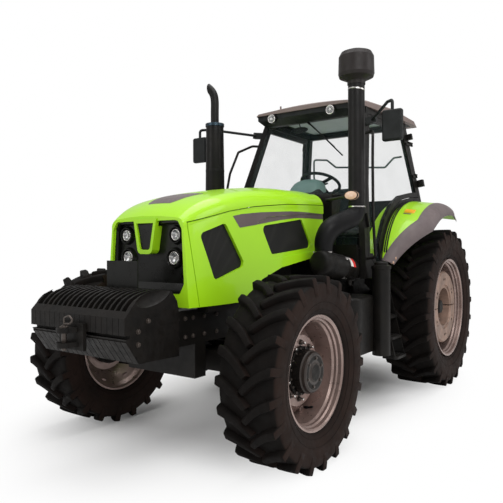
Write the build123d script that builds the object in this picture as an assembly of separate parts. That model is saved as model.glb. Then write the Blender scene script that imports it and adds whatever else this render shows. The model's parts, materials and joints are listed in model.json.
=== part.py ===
"""Farm tractor with a cab, front weights and a driven, steered front axle.

Millimetres, +Z up. The tractor faces -Y and +X is its left side.
The origin is on the ground in the middle of the tractor's length and width.
"""
import os
from math import asin, cos, degrees, pi, radians, sin, sqrt

from build123d import *

# ---------------------------------------------------------------- driving dimensions
WHEELBASE = 2840
FRONT_REACH = 1205          # front axle to the tip of the tow clevis
REAR_REACH = 905            # rear axle to the ends of the lower links
FRONT_AXLE_Y = (FRONT_REACH - WHEELBASE - REAR_REACH) / 2
REAR_AXLE_Y = FRONT_AXLE_Y + WHEELBASE

CAB_DATUM = 2840            # cab datum to the rear axle
TYRE_GAP = 0.3              # rim to tyre bead
PIECE_GAP = 0.3             # two pieces seated on each other
SWING_GAP = 6               # moving panel to fixed panel

# Front wheel: lug tips, tread base, rim and planetary hub
FRONT_TIP_R = 640
FRONT_BASE_R = 600
FRONT_RIM_R = 381
FRONT_TYRE_W = 420
FRONT_TRACK_X = 945         # middle plane of a front wheel
FRONT_RIM_W = 325
FRONT_DISC_X = 968          # outer face of the wheel disc
FRONT_HUB_R = 143
FRONT_HUB_END_X = 1092
FRONT_LUGS, FRONT_SIDES = 21, 28        # lugs in each row, facets round the carcass
FRONT_SWEEP, FRONT_LUG_W = 150, 50      # run of a lug round the tread, width at its foot

# Rear wheel
REAR_TIP_R = 818
TYRE_TO_FENDER = 312        # rear tyre to the top of the fender
REAR_BASE_R = 772
REAR_RIM_R = 508
REAR_TYRE_W = 490
REAR_TRACK_X = 925
REAR_RIM_W = 430
REAR_DISC_X = 968
RING_WEIGHT_R = 375
RING_WEIGHT_BORE_R = 200
RING_WEIGHT_END_X = 1090
REAR_LUGS, REAR_SIDES = 24, 30
REAR_SWEEP, REAR_LUG_W = 165, 54

# Steering
KINGPIN_X = 690
STEER_ARM = 200             # kingpin to tie rod pin, behind the axle
STEER_ARM_Z = 712           # middle of the steering arm
TIE_ROD_Z = 753
TIE_PIN_R = 12

# Cab side planes: x = CAB_X + CAB_TAPER * y + CAB_LEAN * z, y from the front axle
CAB_X = 946
CAB_TAPER = 0.0318
CAB_LEAN = -0.149

BONNET_SKIN = 22
BONNET_FRONT = -470         # from the front axle
BONNET_REAR = 1330
BONNET_BOTTOM = 1062


def fy(offset):
    """Y of a point given by its distance behind the front axle."""
    return FRONT_AXLE_Y + offset


def cy(offset):
    """Row y of a distance behind the cab datum."""
    return REAR_AXLE_Y - CAB_DATUM + offset


def by(offset):
    """Row y along the bonnet: what lies behind the front axle stretches with the wheelbase."""
    stretch = (WHEELBASE - CAB_DATUM + BONNET_REAR) / BONNET_REAR
    return FRONT_AXLE_Y + (offset if offset < 0 else offset * stretch)


def ry(offset):
    """Y of a point given by its distance behind the rear axle."""
    return REAR_AXLE_Y + offset


# ---------------------------------------------------------------- small helpers
def block(x0, x1, y0, y1, z0, z1):
    """Box between two corners."""
    return Pos((x0 + x1) / 2, (y0 + y1) / 2, (z0 + z1) / 2) * Box(x1 - x0, y1 - y0, z1 - z0)


def side_plate(points, x0, x1):
    """Outline in (y, z), extruded across from x0 to x1."""
    face = Plane.YZ.offset(x0) * make_face(Polyline(*points, close=True))
    return extrude(face, x1 - x0)


def front_plate(points, y0, y1):
    """Outline in (x, z), extruded backwards from y0 to y1."""
    face = Plane(origin=(0, y0, 0), x_dir=(1, 0, 0), z_dir=(0, -1, 0)) * make_face(Polyline(*points, close=True))
    return extrude(face, y0 - y1)


def flat_plate(points, z0, z1):
    """Outline in (x, y), extruded up from z0 to z1."""
    return extrude(Pos(0, 0, z0) * make_face(Polyline(*points, close=True)), z1 - z0)


def bar(start, end, radius):
    """Round bar between two points."""
    axis = Vector(*end) - Vector(*start)
    plane = Plane(origin=start, z_dir=axis)
    return extrude(plane * Circle(radius), axis.length)


def beam(start, end, width, depth, x_dir=(1, 0, 0)):
    """Rectangular bar between two points, its width along x_dir."""
    axis = Vector(*end) - Vector(*start)
    plane = Plane(origin=start, x_dir=x_dir, z_dir=axis)
    return extrude(plane * Rectangle(width, depth), axis.length)


def tube_path(points, radius, bend):
    """Bent round bar through the points, each corner rounded to the bend radius."""
    path = FilletPolyline(*points, radius=bend)
    start = Plane(origin=path @ 0, z_dir=path % 0)
    return sweep(start * Circle(radius), path=path)


def x_cylinder(x0, x1, y, z, radius):
    """Cylinder along X from x0 to x1."""
    return bar((x0, y, z), (x1, y, z), radius)


def turned(profile, y, z):
    """Outline of (x, radius) points, turned about the X axis through (y, z)."""
    points = [(x, r) for x, r in profile]
    face = make_face(Polyline(*points, close=True))
    solid = revolve(face, axis=Axis.X, revolution_arc=360)
    return Pos(0, y, z) * solid


def mirrored(shape):
    """The same shape on the right-hand side."""
    return mirror(shape, about=Plane.YZ)


def fused(*shapes):
    """One solid from touching shapes."""
    solid = shapes[0]
    for other in shapes[1:]:
        solid = solid + other
    return solid


PARTS = {}


def add(name, *solids):
    """Keep the solids of one node."""
    flat = []
    for solid in solids:
        flat.extend(solid.solids())
    PARTS[name] = flat


# ---------------------------------------------------------------- bonnet
# Sections of the bonnet, front to rear, y from the front axle:
# y, half width at the bottom, half width at the shoulder, shoulder z, half width of the top, edge z, crown z
BONNET_SECTIONS = [
    (BONNET_FRONT, 400, 352, 1600, 296, 1668, 1688),
    (-300, 430, 396, 1652, 316, 1775, 1800),
    (0, 446, 420, 1722, 325, 1860, 1884),
    (450, 456, 438, 1768, 325, 1925, 1950),
    (900, 463, 446, 1790, 320, 1950, 1984),
    (BONNET_REAR, 468, 448, 1798, 310, 1948, 2000),
]


def bonnet_section(row, inset):
    """One closed cross-section of the bonnet, drawn in by inset."""
    y, foot, side, side_z, top, edge_z, crown_z = row
    foot, side, top = foot - inset, side - inset, top - inset * 0.6
    edge_z, crown_z = edge_z - inset, crown_z - inset
    mid_x = top + (side - top) * 0.74
    mid_z = side_z + (edge_z - side_z) * 0.72
    right = Line((foot, BONNET_BOTTOM), (side, side_z))
    shoulder = ThreePointArc((side, side_z), (mid_x, mid_z), (top, edge_z))
    crown = ThreePointArc((top, edge_z), (0, crown_z), (-top, edge_z))
    far_shoulder = ThreePointArc((-top, edge_z), (-mid_x, mid_z), (-side, side_z))
    left = Line((-side, side_z), (-foot, BONNET_BOTTOM))
    base = Line((-foot, BONNET_BOTTOM), (foot, BONNET_BOTTOM))
    face = make_face(Curve() + [right, shoulder, crown, far_shoulder, left, base])
    return Plane(origin=(0, by(y), 0), x_dir=(1, 0, 0), z_dir=(0, -1, 0)) * face


def bonnet_form(inset, front_inset=0):
    """Solid form of the whole bonnet, drawn in by inset."""
    rows = [list(row) for row in BONNET_SECTIONS]
    rows[0][0] += front_inset
    return loft([bonnet_section(row, inset) for row in rows])


# Side panel outline, y from the front axle and z
PANEL_FRONT_TOP = (-440, 1632)
PANEL_FRONT_FOOT = (-378, BONNET_BOTTOM - 5)
ARCH_START = (95, BONNET_BOTTOM - 5)
ARCH_POINTS = [(330, 1217), (610, 1300), (BONNET_REAR + 10, 1395)]
PANEL_TOP = [(BONNET_REAR + 10, 1838), (700, 1812), (250, 1770), (-50, 1722)]


def panel_outline(shift):
    """Side panel outline; the top and front seam move out by shift."""
    top = [(y, z + shift) for y, z in PANEL_TOP]
    front = [(PANEL_FRONT_TOP[0] - shift, PANEL_FRONT_TOP[1] + shift),
             (PANEL_FRONT_FOOT[0] - shift, PANEL_FRONT_FOOT[1] - 10)]
    return [(by(y), z) for y, z in top + front + [(ARCH_START[0], PANEL_FRONT_FOOT[1] - 10), ARCH_START]
            + ARCH_POINTS]


# Side grille outlines, corners in order, y from the front axle and z
GRILLE_ONE = [(-350, 1560), (-95, 1640), (120, 1330), (-228, 1232)]
GRILLE_TWO = [(345, 1628), (950, 1700), (1118, 1458), (478, 1405)]


def grille_prism(corners, grow, x0, x1, radius=38):
    """Side outline with rounded corners, grown all round, between x0 and x1."""
    face = make_face(Polyline(*[(by(y), z) for y, z in corners], close=True))
    face = fillet(face.vertices(), radius)
    if grow:
        face = offset(face, grow, kind=Kind.ARC)
    return extrude(Plane.YZ.offset(x0) * face, x1 - x0)


NOSE_OPENING = [(-300, 1652), (300, 1652), (337, 1590), (356, 1220), (318, 1150), (-318, 1150),
                (-356, 1220), (-337, 1590)]
NOSE_DEPTH = 60             # front skin to the recessed nose panel
NOSE_WALL = 7               # wall of the tray behind the nose opening
BONNET_HINGE_Y, BONNET_HINGE_Z = 1345, 1922     # y behind the cab datum
HINGE_LUG_X, HINGE_PIN_R = 150, 10
# Hollow pressed round the rear grille, y from the front axle and z
HOLLOW = [(262, 1520), (285, 1650), (420, 1700), (1000, 1748), (1400, 1768), (1400, 1450), (1130, 1424),
          (470, 1366), (330, 1384)]
HOLLOW_DEPTH = 8
HEAD_LAMPS = [(242, 1553, 40), (227, 1393, 46)]     # x, z, radius


def nose_face(grow, y):
    """Nose opening with rounded corners, grown all round, at y."""
    face = fillet(make_face(Polyline(*NOSE_OPENING, close=True)).vertices(), 34)
    if grow:
        face = offset(face, grow, kind=Kind.ARC)
    return Plane(origin=(0, y, 0), x_dir=(1, 0, 0), z_dir=(0, -1, 0)) * face


def nose_tray(wall):
    """Tapered form of the nose tray, drawn in by its wall."""
    back = BONNET_FRONT + BONNET_SKIN
    # y behind the front axle, growth of the opening's outline
    rows = [(back + PIECE_GAP - (1 if wall else 0), -8), (back + 12, -15), (BONNET_FRONT + NOSE_DEPTH, -20)]
    if not wall:
        rows.append((BONNET_FRONT + NOSE_DEPTH + 8, -20))
    return loft([nose_face(grow - wall, by(y)) for y, grow in rows], ruled=True)


def lamp_bowl(x, y, z, radius, depth):
    """Dished ring round a lamp, standing forward from y by depth."""
    seat = Plane(origin=(x, y, z), z_dir=(0, -1, 0)) * Pos(0, 0, depth / 2)
    return seat * Cone(radius + 30, radius + 17, depth) - seat * Cone(radius + 2, radius + 12, depth + 0.01)


def build_bonnet():
    """Bonnet lid with the nose, side panels, grilles and head lamps."""
    outer = bonnet_form(0)
    inner = bonnet_form(BONNET_SKIN, BONNET_SKIN)
    cut_below = block(-700, 700, by(BONNET_FRONT + BONNET_SKIN), by(BONNET_REAR + 5), 1000, BONNET_BOTTOM + 1)
    shell = outer - inner - cut_below
    lid = shell - side_plate(panel_outline(SWING_GAP), -700, 700)
    arch = side_plate([(by(y), z) for y, z in [(ARCH_START[0], 900), ARCH_START] + ARCH_POINTS
                       + [(BONNET_REAR + 10, 900)]], -700, 700)
    panel_y = by(BONNET_FRONT + NOSE_DEPTH)
    skin_back = by(BONNET_FRONT + BONNET_SKIN)
    lid = lid - arch - extrude(nose_face(0, skin_back + 1), BONNET_SKIN + 10)
    frame_outer = front_plate([(-112, 1668), (112, 1668), (72, 1446), (60, 1428), (42, 1420), (-42, 1420),
                               (-60, 1428), (-72, 1446)], by(BONNET_FRONT - 12), panel_y - PIECE_GAP)
    frame_inner = front_plate([(-84, 1636), (84, 1636), (50, 1462), (36, 1450), (-36, 1450), (-50, 1462)],
                              by(BONNET_FRONT - 20), panel_y)
    lid = lid + (frame_outer - frame_inner - block(-200, 200, skin_back, panel_y, NOSE_OPENING[0][1] - 36, 1700))
    for side in (1, -1):
        lug = side_plate([(cy(y), z) for y, z in [(1240, 1975), (1325, 1975), (1365, 1935), (1365, 1905),
                                                  (1330, 1900), (1240, 1952)]],
                         *sorted((side * HINGE_LUG_X, side * (HINGE_LUG_X + 15))))
        lid = lid + lug - x_cylinder(-200, 200, cy(BONNET_HINGE_Y), BONNET_HINGE_Z, HINGE_PIN_R + 0.05)
    lid = Compound(children=sorted(lid.solids(), key=lambda s: -s.volume)[:1])
    add("bonnet_shell", lid)

    tray = nose_tray(0)
    cavity = bonnet_form(BONNET_SKIN + PIECE_GAP, BONNET_SKIN)
    flange = (extrude(nose_face(5, skin_back + PIECE_GAP), -4) & cavity) - extrude(nose_face(-10, skin_back), -6)
    foot = NOSE_OPENING[4][1]
    ledge = side_plate([(panel_y - 30, foot), (panel_y + 1, foot), (panel_y + 1, foot + 72)], -340, 340)
    panel = (tray - nose_tray(NOSE_WALL)) + (ledge & tray) + flange
    lamps = []
    for x, z, radius in HEAD_LAMPS:
        for side in (1, -1):
            panel = panel + lamp_bowl(side * x, panel_y + 1, z, radius, 27)
            lamp = bar((side * x, panel_y - PIECE_GAP, z), (side * x, panel_y - 20, z), radius)
            lamps.append(fillet(lamp.edges().group_by(Axis.Y)[0], 9))
    add("nose_panel", panel)
    add("head_lamps", *lamps)

    panels = shell & side_plate(panel_outline(0), -700, 700)
    back_form = bonnet_form(BONNET_SKIN + PIECE_GAP, BONNET_SKIN + 1)
    core_form = bonnet_form(BONNET_SKIN + 12, BONNET_SKIN + 12)
    pressed = outer - bonnet_form(HOLLOW_DEPTH)
    for x0, x1 in ((0, 700), (-700, 0)):
        panels = panels - (pressed & grille_prism(HOLLOW, 0, x0, x1, 30))
    grilles = []
    for corners in (GRILLE_ONE, GRILLE_TWO):
        for x0, x1 in ((0, 700), (-700, 0)):
            panels = panels - grille_prism(corners, 0, x0, x1)
            grilles.append((back_form - core_form) & grille_prism(corners, 14, x0, x1))
    add("side_panels", panels)
    add("side_grilles", *grilles)


# ---------------------------------------------------------------- chassis
RAIL_X0, RAIL_X1 = 215, 330
RAIL_BOTTOM, RAIL_TOP = 800, 1040
WEIGHT_REAR = -622
ROCKSHAFT_R = 30
LINK_PIN_R = 14
CAB_FLOOR_Z = 1180          # underside of the cab
AXLE_SHAFT_R, AXLE_SHAFT_X = 60, 650    # rear wheel shaft and its inner end
KINGPIN_R, SPINDLE_R = 26, 45
CLEVIS_REACH, PACK_HALF = 123, 450
PLATE_Y, PLATE_HALF, PLATE_FOOT = -690, 150, 1085   # blank plate standing in the weight pack


def build_chassis():
    """Front frame, engine, gearbox, axle housings and front axle beam."""
    rails = []
    for side in (1, -1):
        x0, x1 = sorted((side * RAIL_X0, side * RAIL_X1))
        rails.append(side_plate([(fy(WEIGHT_REAR), RAIL_BOTTOM), (by(900), RAIL_BOTTOM), (by(1150), 860),
                                 (by(1150), RAIL_TOP), (fy(WEIGHT_REAR), RAIL_TOP)], x0, x1))
    front_block = block(-RAIL_X1, RAIL_X1, fy(WEIGHT_REAR), fy(-420), RAIL_BOTTOM, RAIL_TOP)
    saddle = block(-RAIL_X1, RAIL_X1, fy(-330), fy(-215), 560, RAIL_TOP)
    rear_saddle = block(-RAIL_X1, RAIL_X1, fy(260), fy(330), 560, RAIL_TOP)
    ledges = [block(*sorted((side * (RAIL_X1 - 1), side * 426)), fy(-300), fy(60), 1020,
                    BONNET_BOTTOM + 1 - PIECE_GAP) for side in (1, -1)]
    add("front_frame", fused(front_block, *rails, *ledges, saddle, rear_saddle))
    add("engine", block(-RAIL_X0 + 1, RAIL_X0 - 1, fy(331), by(1150), 840, 1560))

    bell = side_plate([(by(1150) + PIECE_GAP, 640), (cy(2350), 560), (cy(2350), 1105),
                       (by(1150) + PIECE_GAP, 1180)], -235, 235)
    mounts = [Pos(side * 190, cy(1600), 1150) * Cylinder(45, 2 * (CAB_FLOOR_Z - PIECE_GAP - 1150))
              for side in (1, -1)]
    add("transmission", fused(bell, *mounts))
    rear_case = block(-270, 270, cy(2350) + PIECE_GAP, ry(230), 520, 1110)
    for side in (1, -1):
        rear_case = rear_case + x_cylinder(side * 269, side * 560, ry(0), REAR_TIP_R, 150)
        rear_case = rear_case + x_cylinder(side * 559, side * 700, ry(0), REAR_TIP_R, 215)
    pto = bar((0, ry(229), 690), (0, ry(330), 690), 17.5)
    lift_cover = block(-150, 150, ry(229), ry(300), 830, 1110)
    rockshaft = x_cylinder(-320, 320, ry(290), 1040, ROCKSHAFT_R)
    link_pin = x_cylinder(-335, 335, ry(80), 560, LINK_PIN_R)
    mounts = [Pos(side * 210, ry(60), 1100) * Cylinder(50, 2 * (CAB_FLOOR_Z - PIECE_GAP - 1100))
              for side in (1, -1)]
    housing = fused(rear_case, pto, lift_cover, rockshaft, link_pin, *mounts)
    for side in (1, -1):
        bore = x_cylinder(*sorted((side * AXLE_SHAFT_X, side * 720)), ry(0), REAR_TIP_R, AXLE_SHAFT_R + 0.05)
        housing = housing - bore
    add("rear_axle_housing", housing)

    z = FRONT_TIP_R
    centre = turned([(-150, 0), (-150, 110), (-60, 140), (60, 140), (150, 110), (150, 0)], fy(0), z)
    tubes = [beam((side * 100, fy(0), z), (side * 560, fy(0), z), 150, 150, (0, 1, 0)) for side in (1, -1)]
    pivot = bar((0, fy(-214.7), z), (0, fy(259.7), z), 60)
    forks = []
    for side in (1, -1):
        for z0, z1 in ((z + 110, z + 145), (z - 145, z - 110)):
            forks.append(block(*sorted((side * 540, side * 745)), fy(-60), fy(60), z0, z1))
        forks.append(block(*sorted((side * 520, side * 560)), fy(-75), fy(75), z - 145, z + 145))
    beam_solid = fused(centre, *tubes, pivot, *forks)
    for side in (1, -1):
        beam_solid = beam_solid - bar((side * KINGPIN_X, fy(0), z - 200), (side * KINGPIN_X, fy(0), z + 200),
                                      KINGPIN_R + 0.05)
    add("front_axle_beam", beam_solid)


def build_weights():
    """Front weight pack, tow clevis and the blank plate behind the pack."""
    face = CLEVIS_REACH - FRONT_REACH
    body = [(WEIGHT_REAR, 777), (face + 117, 785), (face + 17, 925), (face, 955), (face, 1060), (face + 37, 1098),
            (face + 177, 1075), (face + 292, 1070), (-700, 1130), (WEIGHT_REAR, 1060)]
    web = [(face + 37, 1097), (face + 58, 1124), (face + 97, 1157), (face + 145, 1180), (face + 200, 1195),
           (face + 270, 1204), (-760, 1206), (-690, 1196), (-640, 1130), (WEIGHT_REAR, 1055), (-700, 1000),
           (face + 82, 1000)]
    pack = side_plate([(fy(y), z) for y, z in body], -PACK_HALF, PACK_HALF)
    plates = 18
    pitch = 2 * PACK_HALF / plates
    for index in range(plates):
        x = -PACK_HALF + index * pitch
        start, end = x + pitch * 0.34, x + pitch * 0.66
        if index in (0, plates - 1):
            start, end = sorted((x + pitch * 0.4, x + pitch * (0 if index == 0 else 1)))
        pack = pack + side_plate([(fy(y), z) for y, z in web], start, end)
        if index:
            pack = pack - block(x - 1.5, x + 1.5, fy(face - 1), fy(face) + 4, 962, 1060)
    pack = pack - block(-PACK_HALF - 10, PACK_HALF + 10, fy(face - 18), fy(face + 42), 940, 962)
    for side in (1, -1):
        grip = Pos(side * (PACK_HALF + 18), fy(face + 235), 1180) * Rot(14, 0, 0) * scale(Sphere(1), by=(46, 165, 66))
        pack = pack - grip
    pack = pack - block(-PLATE_HALF - PIECE_GAP, PLATE_HALF + PIECE_GAP, fy(PLATE_Y - 4.3), fy(PLATE_Y + 4.3),
                        PLATE_FOOT, 1300)
    add("weight_pack", pack)
    plate_y = fy(CLEVIS_REACH - FRONT_REACH)
    back = block(-115, 115, plate_y - 25, plate_y - PIECE_GAP, 845, 1010)
    lugs = []
    for z0, z1 in ((955, 985), (865, 895)):
        lug = flat_plate([(-62, plate_y - 24), (62, plate_y - 24), (48, plate_y - CLEVIS_REACH + 48),
                          (-48, plate_y - CLEVIS_REACH + 48)], z0, z1)
        lug = lug + Pos(0, fy(-FRONT_REACH) + 48, (z0 + z1) / 2) * Cylinder(48, z1 - z0)
        lugs.append(lug)
    pin_hole = Pos(0, fy(-FRONT_REACH) + 48, 925) * Cylinder(17, 300)
    add("tow_clevis", fused(back, *lugs) - pin_hole)
    add("number_plate", block(-PLATE_HALF, PLATE_HALF, fy(PLATE_Y - 4), fy(PLATE_Y + 4), PLATE_FOOT + PIECE_GAP, 1378))


# ---------------------------------------------------------------- wheels
def tyre_lug(half, base_r, tip_r, sweep, width):
    """One lug at the top of the tread, from the middle out to the shoulder, drawn in towards its tip."""
    foot = make_face(Polyline((-12, -(sweep + width) / 2), (-12, (width - sweep) / 2),
                              (0.925 * half, (sweep + width) / 2), (0.925 * half, (sweep - width) / 2), close=True))
    tip = offset(foot, -6, kind=Kind.INTERSECTION)
    reach = max(vertex.Y for vertex in tip.vertices())
    tip_z = sqrt(tip_r ** 2 - reach ** 2)
    return loft([Pos(0, 0, base_r - 40) * foot, Pos(0, 0, tip_z) * tip], ruled=True), degrees(asin(reach / tip_r))


def tyre(width, rim_r, base_r, tip_r, lugs, sides, sweep, lug_width, centre_x, y, z):
    """Faceted carcass with two staggered rows of lugs; the lugs' inner ends lead as the wheel rolls ahead."""
    half = width / 2
    bore_r = (rim_r + TYRE_GAP) / cos(pi / sides)
    # x from the middle plane, radius
    rows = [(-0.78 * half, bore_r + 12), (-half, rim_r + 0.55 * (base_r - rim_r)), (-0.95 * half, base_r - 4),
            (0.95 * half, base_r - 4), (half, rim_r + 0.55 * (base_r - rim_r)), (0.78 * half, bore_r + 12)]
    across = Plane(origin=(0, 0, 0), x_dir=(0, 1, 0), z_dir=(1, 0, 0))
    carcass = loft([across.offset(x) * RegularPolygon(r, sides) for x, r in rows], ruled=True)
    carcass = carcass - extrude(across.offset(-half) * RegularPolygon(bore_r, sides), width)
    lug, phase = tyre_lug(half, base_r, tip_r, sweep, lug_width)
    ring = []
    for k in range(lugs):
        ring.append(Rot(180 + phase + 360 * k / lugs, 0, 0) * lug)
        ring.append(Rot(180 + phase + 360 * (k + 0.5) / lugs, 0, 0) * mirrored(lug))
    return Pos(centre_x, y, z) * (carcass + ring)


def rim(width, rim_r, centre_x, disc_x, disc_r, hole_r, y, z):
    """Rim with flanges, stepped seats, well and a dished disc."""
    half = width / 2
    inner, outer = centre_x - half, centre_x + half
    profile = [(inner, rim_r), (inner, rim_r - 14), (inner + 30, rim_r - 22), (inner + 60, rim_r - 45),
               (disc_x - 110, rim_r - 60), (disc_x - 14, disc_r), (disc_x - 14, hole_r), (disc_x, hole_r),
               (disc_x, disc_r + 4), (disc_x - 92, rim_r - 50), (outer - 72, rim_r - 47), (outer - 58, rim_r - 36),
               (outer - 40, rim_r - 36), (outer - 32, rim_r - 24), (outer - 8, rim_r - 22), (outer, rim_r - 12),
               (outer, rim_r)]
    return turned(profile, y, z)


def build_wheels():
    """Tyres, rims, hubs and ring weights of the four wheels."""
    y, z = fy(0), FRONT_TIP_R
    wheels = {
        "front_tyre": tyre(FRONT_TYRE_W, FRONT_RIM_R, FRONT_BASE_R, FRONT_TIP_R, FRONT_LUGS, FRONT_SIDES,
                           FRONT_SWEEP, FRONT_LUG_W, FRONT_TRACK_X, y, z),
        "front_rim": rim(FRONT_RIM_W, FRONT_RIM_R, FRONT_TRACK_X, FRONT_DISC_X, 232, FRONT_HUB_R + 0.1, y, z),
    }
    hub = turned([(FRONT_DISC_X - 60, 0), (FRONT_DISC_X - 60, 175), (FRONT_DISC_X - 14.1, 175),
                  (FRONT_DISC_X - 14.1, FRONT_HUB_R), (FRONT_HUB_END_X - 42, FRONT_HUB_R),
                  (FRONT_HUB_END_X - 34, FRONT_HUB_R - 9), (FRONT_HUB_END_X - 14, FRONT_HUB_R - 12),
                  (FRONT_HUB_END_X - 6, FRONT_HUB_R - 24), (FRONT_HUB_END_X - 10, 62), (FRONT_HUB_END_X, 54),
                  (FRONT_HUB_END_X, 0)], y, z)
    wheels["front_hub"] = hub - x_cylinder(FRONT_DISC_X - 70, FRONT_DISC_X - 19, y, z, SPINDLE_R + 0.05)
    y, z = ry(0), REAR_TIP_R
    wheels["rear_tyre"] = tyre(REAR_TYRE_W, REAR_RIM_R, REAR_BASE_R, REAR_TIP_R, REAR_LUGS, REAR_SIDES,
                               REAR_SWEEP, REAR_LUG_W, REAR_TRACK_X, y, z)
    wheels["rear_rim"] = rim(REAR_RIM_W, REAR_RIM_R, REAR_TRACK_X, REAR_DISC_X, 390, 110, y, z)
    weight = turned([(REAR_DISC_X + 0.1, RING_WEIGHT_BORE_R), (REAR_DISC_X + 0.1, RING_WEIGHT_R),
                     (RING_WEIGHT_END_X - 15, RING_WEIGHT_R), (RING_WEIGHT_END_X, RING_WEIGHT_R - 15),
                     (RING_WEIGHT_END_X, RING_WEIGHT_BORE_R + 34), (RING_WEIGHT_END_X - 12, RING_WEIGHT_BORE_R + 30),
                     (RING_WEIGHT_END_X - 12, RING_WEIGHT_BORE_R)], y, z)
    wheels["ring_weight"] = weight - block(900, 1200, y - 600, y + 600, z - 5, z + 5)
    wheels["rear_hub"] = turned([(AXLE_SHAFT_X + 1, 0), (AXLE_SHAFT_X + 1, AXLE_SHAFT_R),
                                 (REAR_DISC_X - 40, AXLE_SHAFT_R), (REAR_DISC_X - 40, 150),
                                 (REAR_DISC_X - 14.1, 150), (REAR_DISC_X - 14.1, 109), (REAR_DISC_X + 40, 100),
                                 (REAR_DISC_X + 44, 74), (REAR_DISC_X + 82, 66), (REAR_DISC_X + 88, 52),
                                 (REAR_DISC_X + 88, 0)], y, z)
    for node, solid in wheels.items():
        add(f"{node}_left", solid)
        add(f"{node}_right", mirrored(solid))


def build_steering():
    """Steering knuckles and the tie rod between them."""
    z = FRONT_TIP_R
    y = fy(0)
    body = bar((KINGPIN_X, y, z - 109), (KINGPIN_X, y, z + 109), 95)
    spindle = turned([(KINGPIN_X + 60, 0), (KINGPIN_X + 60, 90), (KINGPIN_X + 105, 102), (FRONT_DISC_X - 90, 150),
                      (FRONT_DISC_X - 66, 150), (FRONT_DISC_X - 66, 0)], y, z)
    arm = block(KINGPIN_X - 35, KINGPIN_X + 35, y + 60, y + STEER_ARM, STEER_ARM_Z - 13, STEER_ARM_Z + 13)
    arm = arm + Pos(KINGPIN_X, y + STEER_ARM, STEER_ARM_Z) * Cylinder(35, 26)
    pin = bar((KINGPIN_X, y + STEER_ARM, STEER_ARM_Z), (KINGPIN_X, y + STEER_ARM, TIE_ROD_Z + 26), TIE_PIN_R)
    stub = x_cylinder(FRONT_DISC_X - 70, FRONT_DISC_X - 20, y, z, SPINDLE_R)
    kingpin = bar((KINGPIN_X, y, z - 148), (KINGPIN_X, y, z + 148), KINGPIN_R)
    knuckle = fused(body, spindle, arm, pin, stub, kingpin)
    add("knuckle_left", knuckle)
    add("knuckle_right", mirrored(knuckle))
    rod = bar((-KINGPIN_X, y + STEER_ARM, TIE_ROD_Z), (KINGPIN_X, y + STEER_ARM, TIE_ROD_Z), 18)
    for side in (1, -1):
        eye = Pos(side * KINGPIN_X, y + STEER_ARM, TIE_ROD_Z)
        rod = rod + eye * Cylinder(32, 44) - eye * Cylinder(TIE_PIN_R + 0.05, 60)
    add("tie_rod", rod)


# ---------------------------------------------------------------- cab
def cab_plane():
    """Plane of the cab's left side; local x runs back and local y runs up."""
    y0, z0 = 1500, 1150
    x0 = CAB_X + CAB_TAPER * y0 + CAB_LEAN * z0
    return Plane(origin=(x0, cy(y0), z0), x_dir=(CAB_TAPER, 1, 0), z_dir=(1, -CAB_TAPER, -CAB_LEAN)), y0, z0


def cab_side(points, out0, out1):
    """Outline in (y from the front axle, z) on the cab's left side, from out0 to out1 outside it."""
    plane, y0, z0 = cab_plane()
    rise = sqrt(1 + CAB_LEAN ** 2)
    local = [(y - y0, (z - z0) * rise) for y, z in points]
    return extrude(plane.offset(out0) * make_face(Polyline(*local, close=True)), out1 - out0)


A_FOOT, A_KNEE, A_TOP = (1440, 1180), (1655, 2070), (1945, 2840)
COWL_HALF, COWL_TOP, COWL_REAR = 468, 1955, 1644
FENDER_R = REAR_TIP_R + TYRE_TO_FENDER      # fender radius over the rear axle, at the cab
FENDER_Z = REAR_TIP_R
FENDER_WALL_X = 600         # inner wall of a fender
C_FOOT, C_TOP = (3110, FENDER_Z + FENDER_R + 7), (2960, 2840)
FENDER_FRONT, FENDER_MID, FENDER_REAR = 152, 106, 61     # angles from straight back, degrees
FLARE_REAR = 65
LINING_FOOT, ROOF_FOOT = 2841.5, 2846
PANE = 8                    # thickness of fixed glass
SILL_REAR = CAB_DATUM - FENDER_R + 125      # rear end of the door sill


def fender_line(offset_r, y_values):
    """Points just above the fender top, y from the front axle."""
    radius = FENDER_R + offset_r
    return [(y, FENDER_Z + sqrt(radius ** 2 - (y - CAB_DATUM) ** 2)) for y in y_values]


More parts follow.
